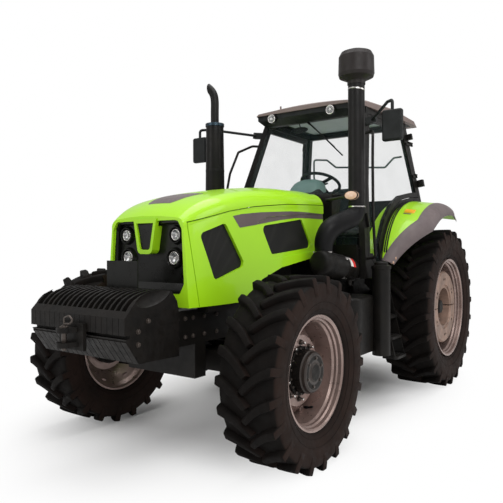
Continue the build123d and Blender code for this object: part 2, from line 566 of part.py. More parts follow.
def build_cab_frame():
    """Cab frame: two side frames, roof rails, front and rear walls."""
    outline = ([A_FOOT, (SILL_REAR, 1180)] + fender_line(-30, (SILL_REAR + 30, 2020, 2250, 2500, 2800))
               + [C_FOOT, C_TOP, A_TOP, A_KNEE])
    side_frame = cab_side(outline, -60, 0) - cab_side(door_outline(0), -70, 10) - fender_top(FENDER_R + PIECE_GAP, 300)
    half_top = CAB_X + CAB_TAPER * 2400 + CAB_LEAN * 2800 - 10
    front_rail = block(-half_top, half_top, cy(1945), cy(1985), 2770, LINING_FOOT - PIECE_GAP)
    rear_rail = block(-half_top, half_top, cy(2900), cy(2960), 2770, LINING_FOOT - PIECE_GAP)
    front_wall = front_plate([(-745, 1180), (745, 1180), (712, 1480), (-712, 1480)], cy(1460), cy(1500))
    firewall = block(-COWL_HALF, COWL_HALF, cy(1460), cy(1500), 1479, COWL_TOP)
    cowl_top = block(-COWL_HALF, COWL_HALF, cy(1499), cy(COWL_REAR), COWL_TOP - 40, COWL_TOP)
    cowl_bar = block(-685, 685, cy(1604), cy(COWL_REAR), COWL_TOP - 30, COWL_TOP)
    cheeks = [side_plate([(cy(1499), 1479), (cy(1540), 1479), (cy(COWL_REAR), COWL_TOP - 39),
                          (cy(1499), COWL_TOP - 39)], *sorted((side * (COWL_HALF - 20), side * COWL_HALF)))
              for side in (1, -1)]
    wall_half = FENDER_WALL_X - PIECE_GAP
    hinges = []
    for side in (1, -1):
        hinges.append(side_plate([(cy(1461), 1885), (cy(1461), 1948), (cy(1355), 1942), (cy(1325), 1925),
                                  (cy(1325), 1912), (cy(1345), 1900)],
                                 *sorted((side * (HINGE_LUG_X + 16), side * (HINGE_LUG_X + 31)))))
        hinges.append(x_cylinder(*sorted((side * (HINGE_LUG_X - 3), side * (HINGE_LUG_X + 20))), cy(BONNET_HINGE_Y),
                                 BONNET_HINGE_Z, HINGE_PIN_R))
    rear_wall = block(-wall_half, wall_half, cy(3030), cy(3080), CAB_FLOOR_Z, C_FOOT[1] + 35)
    rear_band = front_plate([(-700, C_FOOT[1]), (700, C_FOOT[1]), (693, C_FOOT[1] + 35), (-693, C_FOOT[1] + 35)],
                            cy(3030), cy(3080))
    for z, door_end, start in DOOR_HINGES:
        bracket = cab_side([(start, z + 16), (DOOR_HINGE_Y + 12, z + 16), (DOOR_HINGE_Y + 12, z + 28),
                            (start, z + 28)], -2, DOOR_HINGE_OUT + 11)
        pin = bar(cab_point(DOOR_HINGE_Y, z - 15, DOOR_HINGE_OUT), cab_point(DOOR_HINGE_Y, z + 27, DOOR_HINGE_OUT),
                  DOOR_PIN_R)
        hinges += both_sides(bracket + pin)
    add("cab_frame", fused(side_frame, mirrored(side_frame), front_rail, rear_rail, front_wall, firewall, cowl_top,
                           cowl_bar, *cheeks, *hinges, rear_wall, rear_band))


DOOR_HINGE_Y, DOOR_HINGE_OUT = 3040, 12     # behind the cab datum, and outside the cab side
DOOR_PIN_R = 6
TOWER_Y, TOWER_R, TOWER_TOP = 1515, 80, 1330        # tall tank beside the steps; the door swings over it
DOOR_HINGES = [(2240, 2980, 3006), (2600, 2914, 2950)]      # z, rear edge of the door, start of the cab bracket


def door_outline(inset):
    """Door opening on the cab side, drawn in by inset for the door itself."""
    step_z, step_y = TOWER_TOP + 15, TOWER_Y + TOWER_R + 25
    edge_y = A_FOOT[0] + 76 + (A_KNEE[0] - A_FOOT[0] - 10) * (step_z - 1245) / (2070 - 1245)
    front = [(edge_y + inset, step_z + inset), (step_y + inset * 0.5, step_z + inset),
             (step_y + 60 + inset * 0.7, 1245 + inset), (SILL_REAR - 40, 1245 + inset)]
    lower = fender_line(42 + inset, (SILL_REAR - 22, 2020, 2250, 2500, 2800))
    rear = [(C_FOOT[0] - 75 - inset, C_FOOT[1] + 50 + inset), (C_TOP[0] - 65 - inset, 2780 - inset)]
    top = [(1985 + inset * 0.4, 2780 - inset), (A_KNEE[0] + 66 + inset, 2070)]
    return front + lower + rear + top


def cab_point(y, z, out):
    """Point standing off the cab's left side at (y from the front axle, z)."""
    plane, y0, z0 = cab_plane()
    point = plane.from_local_coords((y - y0, (z - z0) * sqrt(1 + CAB_LEAN ** 2), out))
    return (point.X, point.Y, point.Z)


def off_cab(shape):
    """The shape cut back to seat on the cab's left side."""
    slab = [(1300, 1200), (3200, 1200), (3200, 2900), (1300, 2900)]
    return shape - cab_side(slab, -150, PIECE_GAP)


def build_doors():
    """A glazed door on each side, hinged at the rear pillar."""
    frame = cab_side(door_outline(SWING_GAP), -42, 0) - cab_side(door_outline(55), -50, 10)
    glass = cab_side(door_outline(55 + PIECE_GAP), -26, -16)
    plane, y0, z0 = cab_plane()
    handle = plane * Pos(115, 560, 12) * Box(30, 130, 24)
    frame = frame + handle
    for z, door_end, start in DOOR_HINGES:
        pad = cab_side([(door_end - 32, z - 16), (door_end, z - 16), (door_end, z + 15), (door_end - 32, z + 15)], -2, 12)
        arm = cab_side([(door_end - 1, z - 14), (DOOR_HINGE_Y, z - 14), (DOOR_HINGE_Y, z + 13),
                        (door_end - 1, z + 13)], 4, 12)
        foot, head = (cab_point(DOOR_HINGE_Y, z + rise, DOOR_HINGE_OUT) for rise in (-14, 14))
        frame = frame + pad + arm + bar(foot, head, 11) - bar(cab_point(DOOR_HINGE_Y, z - 40, DOOR_HINGE_OUT),
                                                              cab_point(DOOR_HINGE_Y, z + 40, DOOR_HINGE_OUT),
                                                              DOOR_PIN_R + 0.05)
    for name, flip in (("left", False), ("right", True)):
        add(f"door_{name}", mirrored(frame) if flip else frame)
        add(f"door_glass_{name}", mirrored(glass) if flip else glass)


def pane_half(y, z):
    """Half width between the side frames at (y from the front axle, z)."""
    return CAB_X + CAB_TAPER * y + CAB_LEAN * z - 62


def slanted_pane(y_foot, z_foot, slope, z_head, x_foot, x_head, x_start=None):
    """Glass pane leaning back by slope, behind its outer face."""
    plane = Plane(origin=(0, cy(y_foot), z_foot), x_dir=(1, 0, 0), z_dir=(0, -1, slope))
    height = (z_head - z_foot) * sqrt(1 + slope ** 2)
    start = -x_foot if x_start is None else x_start
    start_head = -x_head if x_start is None else x_start
    tilt = slope * PANE
    foot, head = max(tilt, 0), height + min(tilt, 0)
    outline = Polyline((start, foot), (x_foot, foot), (x_head, head), (start_head, head), close=True)
    return extrude(plane * make_face(outline), -PANE)


def build_windows():
    """Windscreen, front quarter panes and rear window."""
    slope = (A_TOP[0] - A_KNEE[0]) / (A_TOP[1] - A_KNEE[1])
    low, high = COWL_TOP + PIECE_GAP, 2769
    y_low = A_KNEE[0] + slope * (low - A_KNEE[1]) + 12
    y_high = y_low + slope * (high - low)
    screen = slanted_pane(y_low, low, slope, high, pane_half(y_low, low), pane_half(y_high, high))
    low_slope = (A_KNEE[0] - A_FOOT[0]) / (A_KNEE[1] - A_FOOT[1])
    foot, head = 1480.3, COWL_TOP - 30.3
    y_foot = 1480
    y_head = y_foot + low_slope * (head - foot)
    quarter = slanted_pane(y_foot, foot, low_slope, head, pane_half(y_foot, foot), pane_half(y_head, head),
                           COWL_HALF + PIECE_GAP)
    lean = (C_TOP[0] - C_FOOT[0]) / (C_TOP[1] - C_FOOT[1])
    foot, head = C_FOOT[1] + 35 + PIECE_GAP, 2769
    y_foot, y_head = 3042, 3042 + lean * (head - foot)
    rear = slanted_pane(y_foot, foot, lean, head, pane_half(y_foot, foot), pane_half(y_head, head))
    add("cab_windows", screen, quarter, mirrored(quarter), rear)


FLOOR_HALF = FENDER_WALL_X - PIECE_GAP
DASH = [(1645, 1500), (1645, 1945), (1690, 1985), (1740, 2035), (1905, 1985), (1880, 1900), (1740, 1500)]


def build_cab_inside():
    """Floor, dashboard, steering wheel, seat and side console."""
    floor = block(-690, 690, cy(1500.3), cy(1820), 1180, 1225) + block(-FLOOR_HALF, FLOOR_HALF, cy(1819), cy(2260), 1180, 1225)
    step = block(-FLOOR_HALF, FLOOR_HALF, cy(2259), cy(3029.7), 1180, 1440)
    add("cab_floor", floor + step)
    dash = side_plate([(cy(y), z) for y, z in DASH], -190, 190)
    wings = side_plate([(cy(1645), 1800), (cy(1645), 1945), (cy(1690), 1985), (cy(1720), 1985), (cy(1770), 1930),
                        (cy(1700), 1800)], -420, 420)
    pedestal = block(-110, 110, cy(1645), cy(1730), 1225.3, 1600)
    add("dashboard", fused(dash, wings, pedestal))
    hub = Vector(0, cy(2120), 2135)
    tilt = Vector(0, 0.45, 0.893)
    wheel_plane = Plane(origin=hub, x_dir=(1, 0, 0), z_dir=tilt)
    rim_ring = wheel_plane * Torus(205, 16)
    spokes = [wheel_plane * Rot(0, 0, angle) * Pos(102, 0, -4) * Box(200, 34, 14) for angle in (90, 210, 330)]
    boss = wheel_plane * Pos(0, 0, -12) * Cylinder(48, 46)
    column = bar((0, cy(1800), 1985), tuple(hub), 32)
    dash_cut = side_plate([(cy(y) + PIECE_GAP, z + PIECE_GAP) for y, z in DASH], -190, 190)
    add("steering_wheel", fused(boss, rim_ring, *spokes, column) - dash_cut)
    seat_y = 2480
    base = block(-170, 170, cy(seat_y - 170), cy(seat_y + 190), 1440.3, 1560)
    plate = block(-235, 235, cy(seat_y - 230), cy(seat_y + 240), 1560, 1590)
    riser = block(-60, 60, cy(seat_y + 239), cy(seat_y + 260), 1560, 1700)
    add("seat_base", fused(base, plate, riser))
    cushion = fillet(block(-240, 240, cy(seat_y - 245), cy(seat_y + 180), 1590.3, 1700).edges(), 30)
    back = fillet(block(-230, 230, cy(seat_y + 260.3), cy(seat_y + 360), 1620, 2160).edges(), 35)
    add("seat_cushions", cushion, back)
    console = side_plate([(cy(2330), 1440.3), (cy(2360), 1860), (cy(2900), 1900), (cy(2950), 1440.3)], -520, -330)
    add("side_console", console)




def build_roof():
    """Roof shell with its overhang, and the dark lining and visor under it."""
    # y behind the cab datum, half width, edge z, crown z
    rows = [(1700, 540, 2868, 2886), (1780, 572, 2884, 2916), (2000, 602, 2912, 2952), (2600, 640, 2936, 2978),
            (3120, 668, 2904, 2944), (3290, 640, 2870, 2886)]
    faces = []
    for y, half, edge, crown in rows:
        top = ThreePointArc((half - 26, edge), (0, crown), (26 - half, edge))
        lines = Polyline((26 - half, edge), (-half, edge - 20), (-half, ROOF_FOOT), (half, ROOF_FOOT),
                         (half, edge - 20), (half - 26, edge))
        faces.append(Plane(origin=(0, cy(y), 0), x_dir=(1, 0, 0), z_dir=(0, -1, 0)) * make_face(Curve() + [top, lines]))
    groove = front_plate([(-700, 2992), (-700, 2800), (-565, 2800), (-565, 2926), (0, 2936), (565, 2926),
                          (565, 2800), (700, 2800), (700, 2992)], cy(1925), cy(1947))
    stub = Pos(-330, cy(1850), 2935) * Cylinder(9, 40)
    add("roof_shell", loft(faces, ruled=True) - (groove & block(-700, 700, cy(1900), cy(1960), 2880, 3000)) + stub)
    lining_outline = [(540, cy(1730)), (575, cy(1960)), (610, cy(2960)), (600, cy(3180)), (-600, cy(3180)),
                      (-610, cy(2960)), (-575, cy(1960)), (-540, cy(1730))]
    lining = flat_plate(lining_outline, LINING_FOOT, ROOF_FOOT - PIECE_GAP)
    visor = side_plate([(cy(1722), 2842), (cy(1722), 2800), (cy(1880), 2760), (cy(1905), 2760),
                        (cy(1905), 2842)], -535, 535)
    add("roof_lining", fused(lining, visor))


def fender_section(x, drop, outer_r, thickness, rear=FENDER_REAR):
    """Arc band over the rear wheel at one x, lowered by drop."""
    plane = Plane(origin=(x, ry(0), FENDER_Z - drop), x_dir=(0, 1, 0), z_dir=(1, 0, 0))
    inner_r = outer_r - thickness

    def at(radius, angle):
        return (radius * cos(radians(angle)), radius * sin(radians(angle)))

    outer = ThreePointArc(at(outer_r, FENDER_FRONT), at(outer_r, FENDER_MID), at(outer_r, rear))
    end = Line(at(outer_r, rear), at(inner_r, rear))
    inner = ThreePointArc(at(inner_r, rear), at(inner_r, FENDER_MID), at(inner_r, FENDER_FRONT))
    start = Line(at(inner_r, FENDER_FRONT), at(outer_r, FENDER_FRONT))
    return plane * make_face(Curve() + [outer, end, inner, start])


def fender_top(outer_r, thickness):
    """Fender top from its inner wall out to the flare."""
    sections = [fender_section(x, drop, outer_r, thickness) for x, drop in ((FENDER_WALL_X, 0), (800, 0), (1050, 34))]
    return loft(sections, ruled=True)


def build_fenders():
    """Rear fenders with an inner wall, and their outer flares."""
    top = fender_top(FENDER_R, 16)
    wall_r = FENDER_R - 8
    centre_y, centre_z = REAR_AXLE_Y, FENDER_Z

    def at(angle):
        return (centre_y + wall_r * cos(radians(angle)), centre_z + wall_r * sin(radians(angle)))

    low = 1180
    start, end = at(FENDER_FRONT), at(FENDER_REAR)
    corners = [end, (end[0], low + 300), (ry(350), low), (start[0], low), start]
    edges = [Line(corners[i], corners[i + 1]) for i in range(4)]
    wall = Plane.YZ.offset(FENDER_WALL_X) * make_face(Curve() + [ThreePointArc(start, at(FENDER_MID), end)] + edges)
    fender = top + extrude(wall, 14)
    plan = flat_plate([(540, ry(-1100)), (830, ry(-1010)), (1050, ry(-640)), (1300, ry(-300)), (1300, ry(900)),
                       (540, ry(900))], 1000, 2200)
    fender = fender & plan
    flare = loft([fender_section(x, drop, FENDER_R + 3, 22, FLARE_REAR)
                  for x, drop in ((1050.3, 34), (1120, 54), (1165, 84), (1195, 134))], ruled=True) & plan
    add("fenders", fender, mirrored(fender))
    add("fender_flares", flare, mirrored(flare))


STACK_X, STACK_Y, STACK_FOOT, STACK_R = 780, 1320, 1835, 72
TOWER_X = 925
EXHAUST_X, EXHAUST_Y = -790, 1300


def both_sides(shape):
    """The piece and its mirror image."""
    return [shape, mirrored(shape)]


def build_side_gear():
    """Entry steps, tanks, air cleaner, intake and exhaust."""
    ladder = []
    for y0, y1 in ((1664, 1676), (1894, 1906)):
        ladder.append(front_plate([(700, 1168), (828, 1168), (858, 1040), (1000, 440), (905, 440), (780, 1040),
                                   (700, 1120)], cy(y0), cy(y1)))
    # middle of a tread, its z
    for x, z in ((872, 800), (914, 615), (955, 440)):
        tread = block(x - 75, x + 62, cy(1652), cy(1918), z, z + 24)
        ladder.append(fillet(tread.edges().filter_by(Axis.Z).group_by(Axis.X)[-1], 40))
    ladder.append(block(700, 822, cy(1664), cy(1906), 1140, 1168))
    add("entry_steps", *both_sides(fused(*ladder)))

    tank = fillet(block(420, 880, cy(1080), cy(1560), 540, 1030).edges().filter_by(Axis.Z), 110)
    tank = fillet(tank.edges().group_by(Axis.Z)[-1], 26)
    ring_r, top = TOWER_R + 7, TOWER_TOP
    tank = tank + turned_up([(0, 500), (TOWER_R, 500), (TOWER_R, top - 72), (ring_r, top - 66), (ring_r, top - 38),
                             (60, top - 28), (60, top - 10), (46, top), (0, top)], TOWER_X, cy(TOWER_Y))
    tank = tank + block(235.3, 421, cy(1300), cy(1500), 850, 900)
    tank = tank + block(600, 850, cy(1540), cy(1663.7), 700, 760)
    add("side_tanks", *both_sides(tank))

    canister = fillet(bar((596, cy(950), 1336), (660, cy(1462), 1243), 112).edges(), 42)
    band = bar((646, cy(1350), 1263), (649, cy(1372), 1259), 118)
    bracket = block(600, 680, cy(1380), cy(1459.7), 1190, 1240)
    hose = tube_path([(590, cy(1060), 1330), (590, cy(1060), 1620), (STACK_X, cy(STACK_Y), 1680),
                      (STACK_X, cy(STACK_Y), STACK_FOOT - PIECE_GAP)], STACK_R, 75)
    cleaner = fused(canister, band, bracket, hose) - block(400, 800, cy(1459.7), cy(1600), 1100, 1400)
    add("air_cleaner", cleaner)
    pipe = bar((STACK_X, cy(STACK_Y), STACK_FOOT), (STACK_X, cy(STACK_Y), 2930), STACK_R)
    bowl = turned_up([(0, 2880), (STACK_R + 6, 2880), (STACK_R + 6, 2908), (STACK_R + 24, 2920), (148, 2944),
                      (156, 2972), (152, 3120), (132, 3158), (84, 3176), (0, 3180)], STACK_X, cy(STACK_Y))
    strap = off_cab(beam(cab_point(1830, 2450, -40), (STACK_X, cy(STACK_Y + 30), 2450), 30, 50, (0, 0, 1)))
    add("intake_stack", fused(pipe, bowl, strap))

    shroud = turned_up([(0, 1760), (92, 1760), (102, 1790), (90, 2700), (96, 2704), (96, 2734), (0, 2734)],
                       EXHAUST_X, cy(EXHAUST_Y))
    feed = tube_path([(-214.3, cy(1080), 1285), (-600, cy(1080), 1285), (EXHAUST_X, cy(EXHAUST_Y), 1285),
                      (EXHAUST_X, cy(EXHAUST_Y), 1780)], 48, 70)
    tip = tube_path([(EXHAUST_X, cy(EXHAUST_Y), 2720), (EXHAUST_X, cy(EXHAUST_Y), 3020),
                     (EXHAUST_X, cy(EXHAUST_Y - 150), 3150)], 42, 150)
    mouth = bar((EXHAUST_X, cy(EXHAUST_Y - 20), 3060), (EXHAUST_X, cy(EXHAUST_Y - 200), 3170), 35)
    tip = tip - mouth - block(-900, -700, cy(EXHAUST_Y - 300), cy(EXHAUST_Y - 72), 2900, 3300)
    add("exhaust_stack", fused(shroud, feed, tip))


def turned_up(profile, x, y):
    """Outline of (radius, z) points, turned about the vertical through (x, y)."""
    face = Plane.XZ * make_face(Polyline(*profile, close=True))
    return Pos(x, y, 0) * revolve(face, axis=Axis.Z, revolution_arc=360)


def build_cab_outside():
    """Mirrors, handrails and lamps."""
    arm = tube_path([cab_point(1905, 2680, -20), cab_point(1905, 2680, 70), (1000, cy(1480), 2730),
                     (1075, cy(1400), 2720), (1075, cy(1400), 2500)], 14, 30)
    arm = off_cab(arm) + cab_side([(1886, 2648), (1938, 2648), (1938, 2710), (1890, 2714)], PIECE_GAP, 112)
    head = fillet(block(985, 1165, cy(1375), cy(1435), 2370, 2640).edges(), 22)
    add("mirrors", *both_sides(arm + head))
    rail = tube_path([cab_point(1850, 2560, -20), cab_point(1850, 2560, 80), (775, cy(1690), 2490),
                      (815, cy(1590), 2250), (862, cy(1490), 1700), cab_point(1510, 1355, 85),
                      cab_point(1510, 1355, -20)], 13, 30)
    add("handrails", *both_sides(off_cab(rail)))
    front = fillet(bar((338, cy(1721.7), 2795), (338, cy(1686), 2795), 46).edges().group_by(Axis.Y)[0], 10)
    stalk = tube_path([(450, cy(1459.7), 1890), (450, cy(1380), 1890), (900, cy(960), 1880)], 13, 30)
    signal = Pos(905, cy(955), 1880) * Rot(90, 0, 0) * extrude(Ellipse(62, 38), 21, both=True)
    rear = cab_side([(3052, C_FOOT[1] + 170), (3100, C_FOOT[1] + 170), (3090, C_FOOT[1] + 245),
                     (3045, C_FOOT[1] + 245)], PIECE_GAP, 70)
    work = cab_side([(2944, 2650), (2986, 2650), (2978, 2712), (2944, 2712)], PIECE_GAP, 56)
    add("cab_lamps", *both_sides(front), *both_sides(stalk + signal), *both_sides(rear), *both_sides(work))


def build_rear():
    """Lower links, lift arms, top link and drawbar."""
    end_y = ry(REAR_REACH) - 38
    link = beam((305, ry(80), 560), (420, end_y, 560), 40, 70)
    link = link + x_cylinder(285, 325, ry(80), 560, 38) + x_cylinder(395, 445, end_y, 560, 38)
    link = link - x_cylinder(200, 400, ry(80), 560, LINK_PIN_R + 0.05) - x_cylinder(350, 500, end_y, 560, 14.5)
    add("lower_links", *both_sides(link))
    arm = beam((290, ry(290), 1040), (345, ry(560), 1075), 40, 80)
    arm = arm - x_cylinder(200, 400, ry(290), 1040, ROCKSHAFT_R + 0.05)
    rod = beam((362, ry(548), 1050), (388, ry(540), 596.2), 30, 30)
    add("lift_arms", *both_sides(arm + rod))
    add("top_link", bar((0, ry(305), 900), (0, ry(640), 960), 24))
    tongue = block(-40, 40, ry(-200), ry(560), 440, 475) - Pos(0, ry(520), 457) * Cylinder(16, 80)
    add("drawbar", tongue + block(-90, 90, ry(-200), ry(200), 475, 519.7))


def main():
    build_bonnet()
    build_chassis()
    build_weights()
    build_wheels()
    build_steering()
    build_cab_frame()
    build_doors()
    build_windows()
    build_cab_inside()
    build_roof()
    build_fenders()
    build_side_gear()
    build_cab_outside()
    build_rear()
    os.makedirs("parts", exist_ok=True)
    for name, solids in PARTS.items():
        shape = solids[0] if len(solids) == 1 else Compound(children=solids)
        export_step(shape, f"parts/{name}.step")


main()
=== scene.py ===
"""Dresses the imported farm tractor: finishes, tread, wheels, lamps, trim, cab fittings, light and camera."""

import json
import math
from functools import cache

import bmesh
import bpy
from mathutils import Matrix, Vector
from mathutils.bvhtree import BVHTree


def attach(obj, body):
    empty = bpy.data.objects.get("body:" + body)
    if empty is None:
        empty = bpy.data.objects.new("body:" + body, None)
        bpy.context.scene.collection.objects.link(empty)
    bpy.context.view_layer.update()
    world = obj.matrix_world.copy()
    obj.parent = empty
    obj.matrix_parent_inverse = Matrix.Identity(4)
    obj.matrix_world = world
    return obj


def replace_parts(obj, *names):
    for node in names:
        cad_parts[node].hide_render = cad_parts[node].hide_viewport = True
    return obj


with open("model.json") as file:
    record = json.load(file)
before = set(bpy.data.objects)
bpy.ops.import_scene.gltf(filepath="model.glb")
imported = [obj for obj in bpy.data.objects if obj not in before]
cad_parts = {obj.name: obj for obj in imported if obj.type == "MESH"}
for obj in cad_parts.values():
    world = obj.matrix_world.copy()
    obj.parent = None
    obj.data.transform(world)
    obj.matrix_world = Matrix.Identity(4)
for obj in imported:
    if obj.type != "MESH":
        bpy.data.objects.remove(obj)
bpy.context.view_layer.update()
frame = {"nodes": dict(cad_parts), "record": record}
NODES = frame["nodes"]

# Places along the tractor, metres: it faces -Y and its left side is +X
FRONT_AXLE = Vector((0, -1.27, 0.64))
REAR_AXLE = Vector((0, 1.57, 0.818))
CAB_DATUM = REAR_AXLE.y - 2.84
SIDES = ((1, "left"), (-1, "right"))
TAU = 2 * math.pi


# ---------------------------------------------------------------- finishes
def feed(tree, made, inputs):
    """Gives each input of a node a value, or the output that feeds it."""
    for key, value in inputs.items():
        if isinstance(value, bpy.types.NodeSocket):
            tree.links.new(value, made.inputs[key])
        else:
            made.inputs[key].default_value = value
    return made


def node(tree, kind, inputs, **settings):
    """A new shader node with its settings and inputs."""
    made = tree.nodes.new(f"ShaderNode{kind}")
    for key, value in settings.items():
        setattr(made, key, value)
    return feed(tree, made, inputs)


class Finish:
    """A node material with colour variation, dust and a fine surface."""

    def __init__(self, name, colour, rough, metallic=0.0, coat=0.0, specular=0.5):
        self.material = bpy.data.materials.new(name)
        self.material.use_nodes = True
        self.tree = self.material.node_tree
        self.feed({"Base Color": (*colour, 1), "Roughness": rough, "Metallic": metallic, "Coat Weight": coat,
                   "Coat Roughness": 0.06, "Specular IOR Level": specular})
        self.base, self.rough = colour, rough
        self.colour = (*colour, 1)
        places = self.node("TexCoord", {}).outputs
        self.place, self.normal = places["Object"], places["Normal"]

    def feed(self, inputs):
        """Values or outputs for the surface shader."""
        feed(self.tree, self.tree.nodes["Principled BSDF"], inputs)
        return self

    def node(self, kind, inputs, **settings):
        return node(self.tree, kind, inputs, **settings)

    def noise(self, scale, detail):
        return self.node("TexNoise", {"Vector": self.place, "Scale": scale, "Detail": detail}).outputs["Fac"]

    def ramp(self, source, low, high, to_low=0.0, to_high=1.0):
        return self.node("MapRange", {"Value": source, "From Min": low, "From Max": high, "To Min": to_low,
                                      "To Max": to_high}).outputs["Result"]

    def maths(self, first, second, operation="MULTIPLY"):
        return self.node("Math", {0: first, 1: second}, operation=operation).outputs["Value"]

    def coordinate(self, source, axis):
        return self.node("SeparateXYZ", {"Vector": source}).outputs[axis]

    def tint(self, factor, colour):
        """Mixes another colour over the surface by factor."""
        mix = self.node("Mix", {0: factor, 6: self.colour, 7: (*colour, 1)}, data_type="RGBA")
        self.colour = mix.outputs[2]
        return self.feed({"Base Color": self.colour})

    def mottle(self, amount, scale, colour=None):
        """Soft cloudy colour variation."""
        shade = colour or tuple(c * 0.6 for c in self.base)
        return self.tint(self.ramp(self.noise(scale, 5.0), 0.35, 0.7, 0.0, amount), shade)

    def dust(self, amount, top, colour=(0.27, 0.22, 0.17), scale=9.0):
        """Road dust that thins out towards height top."""
        height = self.ramp(self.coordinate(self.place, "Z"), 0.0, top, amount, 0.0)
        cloud = self.ramp(self.noise(scale, 8.0), 0.35, 0.65, 0.25, 1.0)
        return self.tint(self.maths(height, cloud), colour)

    def facing(self, axis, low, high, amount, colour, scale):
        """Tint on faces turned along an axis, in clouds."""
        turned = self.maths(self.coordinate(self.normal, axis), 0.0, "ABSOLUTE")
        cloud = self.ramp(self.noise(scale, 6.0), 0.3, 0.6, 0.45, 1.0)
        return self.tint(self.maths(self.ramp(turned, low, high, 0.0, amount), cloud), colour)

    def above(self, height, colour):
        """Another colour over everything above a height."""
        return self.tint(self.ramp(self.coordinate(self.place, "Z"), height - 0.001, height), colour)

    def uneven_gloss(self, spread, scale=30.0):
        """Roughness that varies by spread about its value."""
        return self.feed({"Roughness": self.ramp(self.noise(scale, 3.0), 0.3, 0.7, self.rough - spread,
                                                 self.rough + spread)})

    def grain(self, strength, scale, distance=0.0006, source=None):
        """Fine bump."""
        bump = self.node("Bump", {"Strength": strength, "Distance": distance,
                                  "Height": source or self.noise(scale, 6.0)})
        return self.feed({"Normal": bump.outputs["Normal"]})

    def layers(self, mottle, grain, dust=None, facing=None, gloss=None):
        """Lays the layers on in their order."""
        for layer, values in ((self.mottle, mottle), (self.dust, dust), (self.facing, facing),
                              (self.uneven_gloss, gloss), (self.grain, grain)):
            if values:
                layer(*values)
        return self


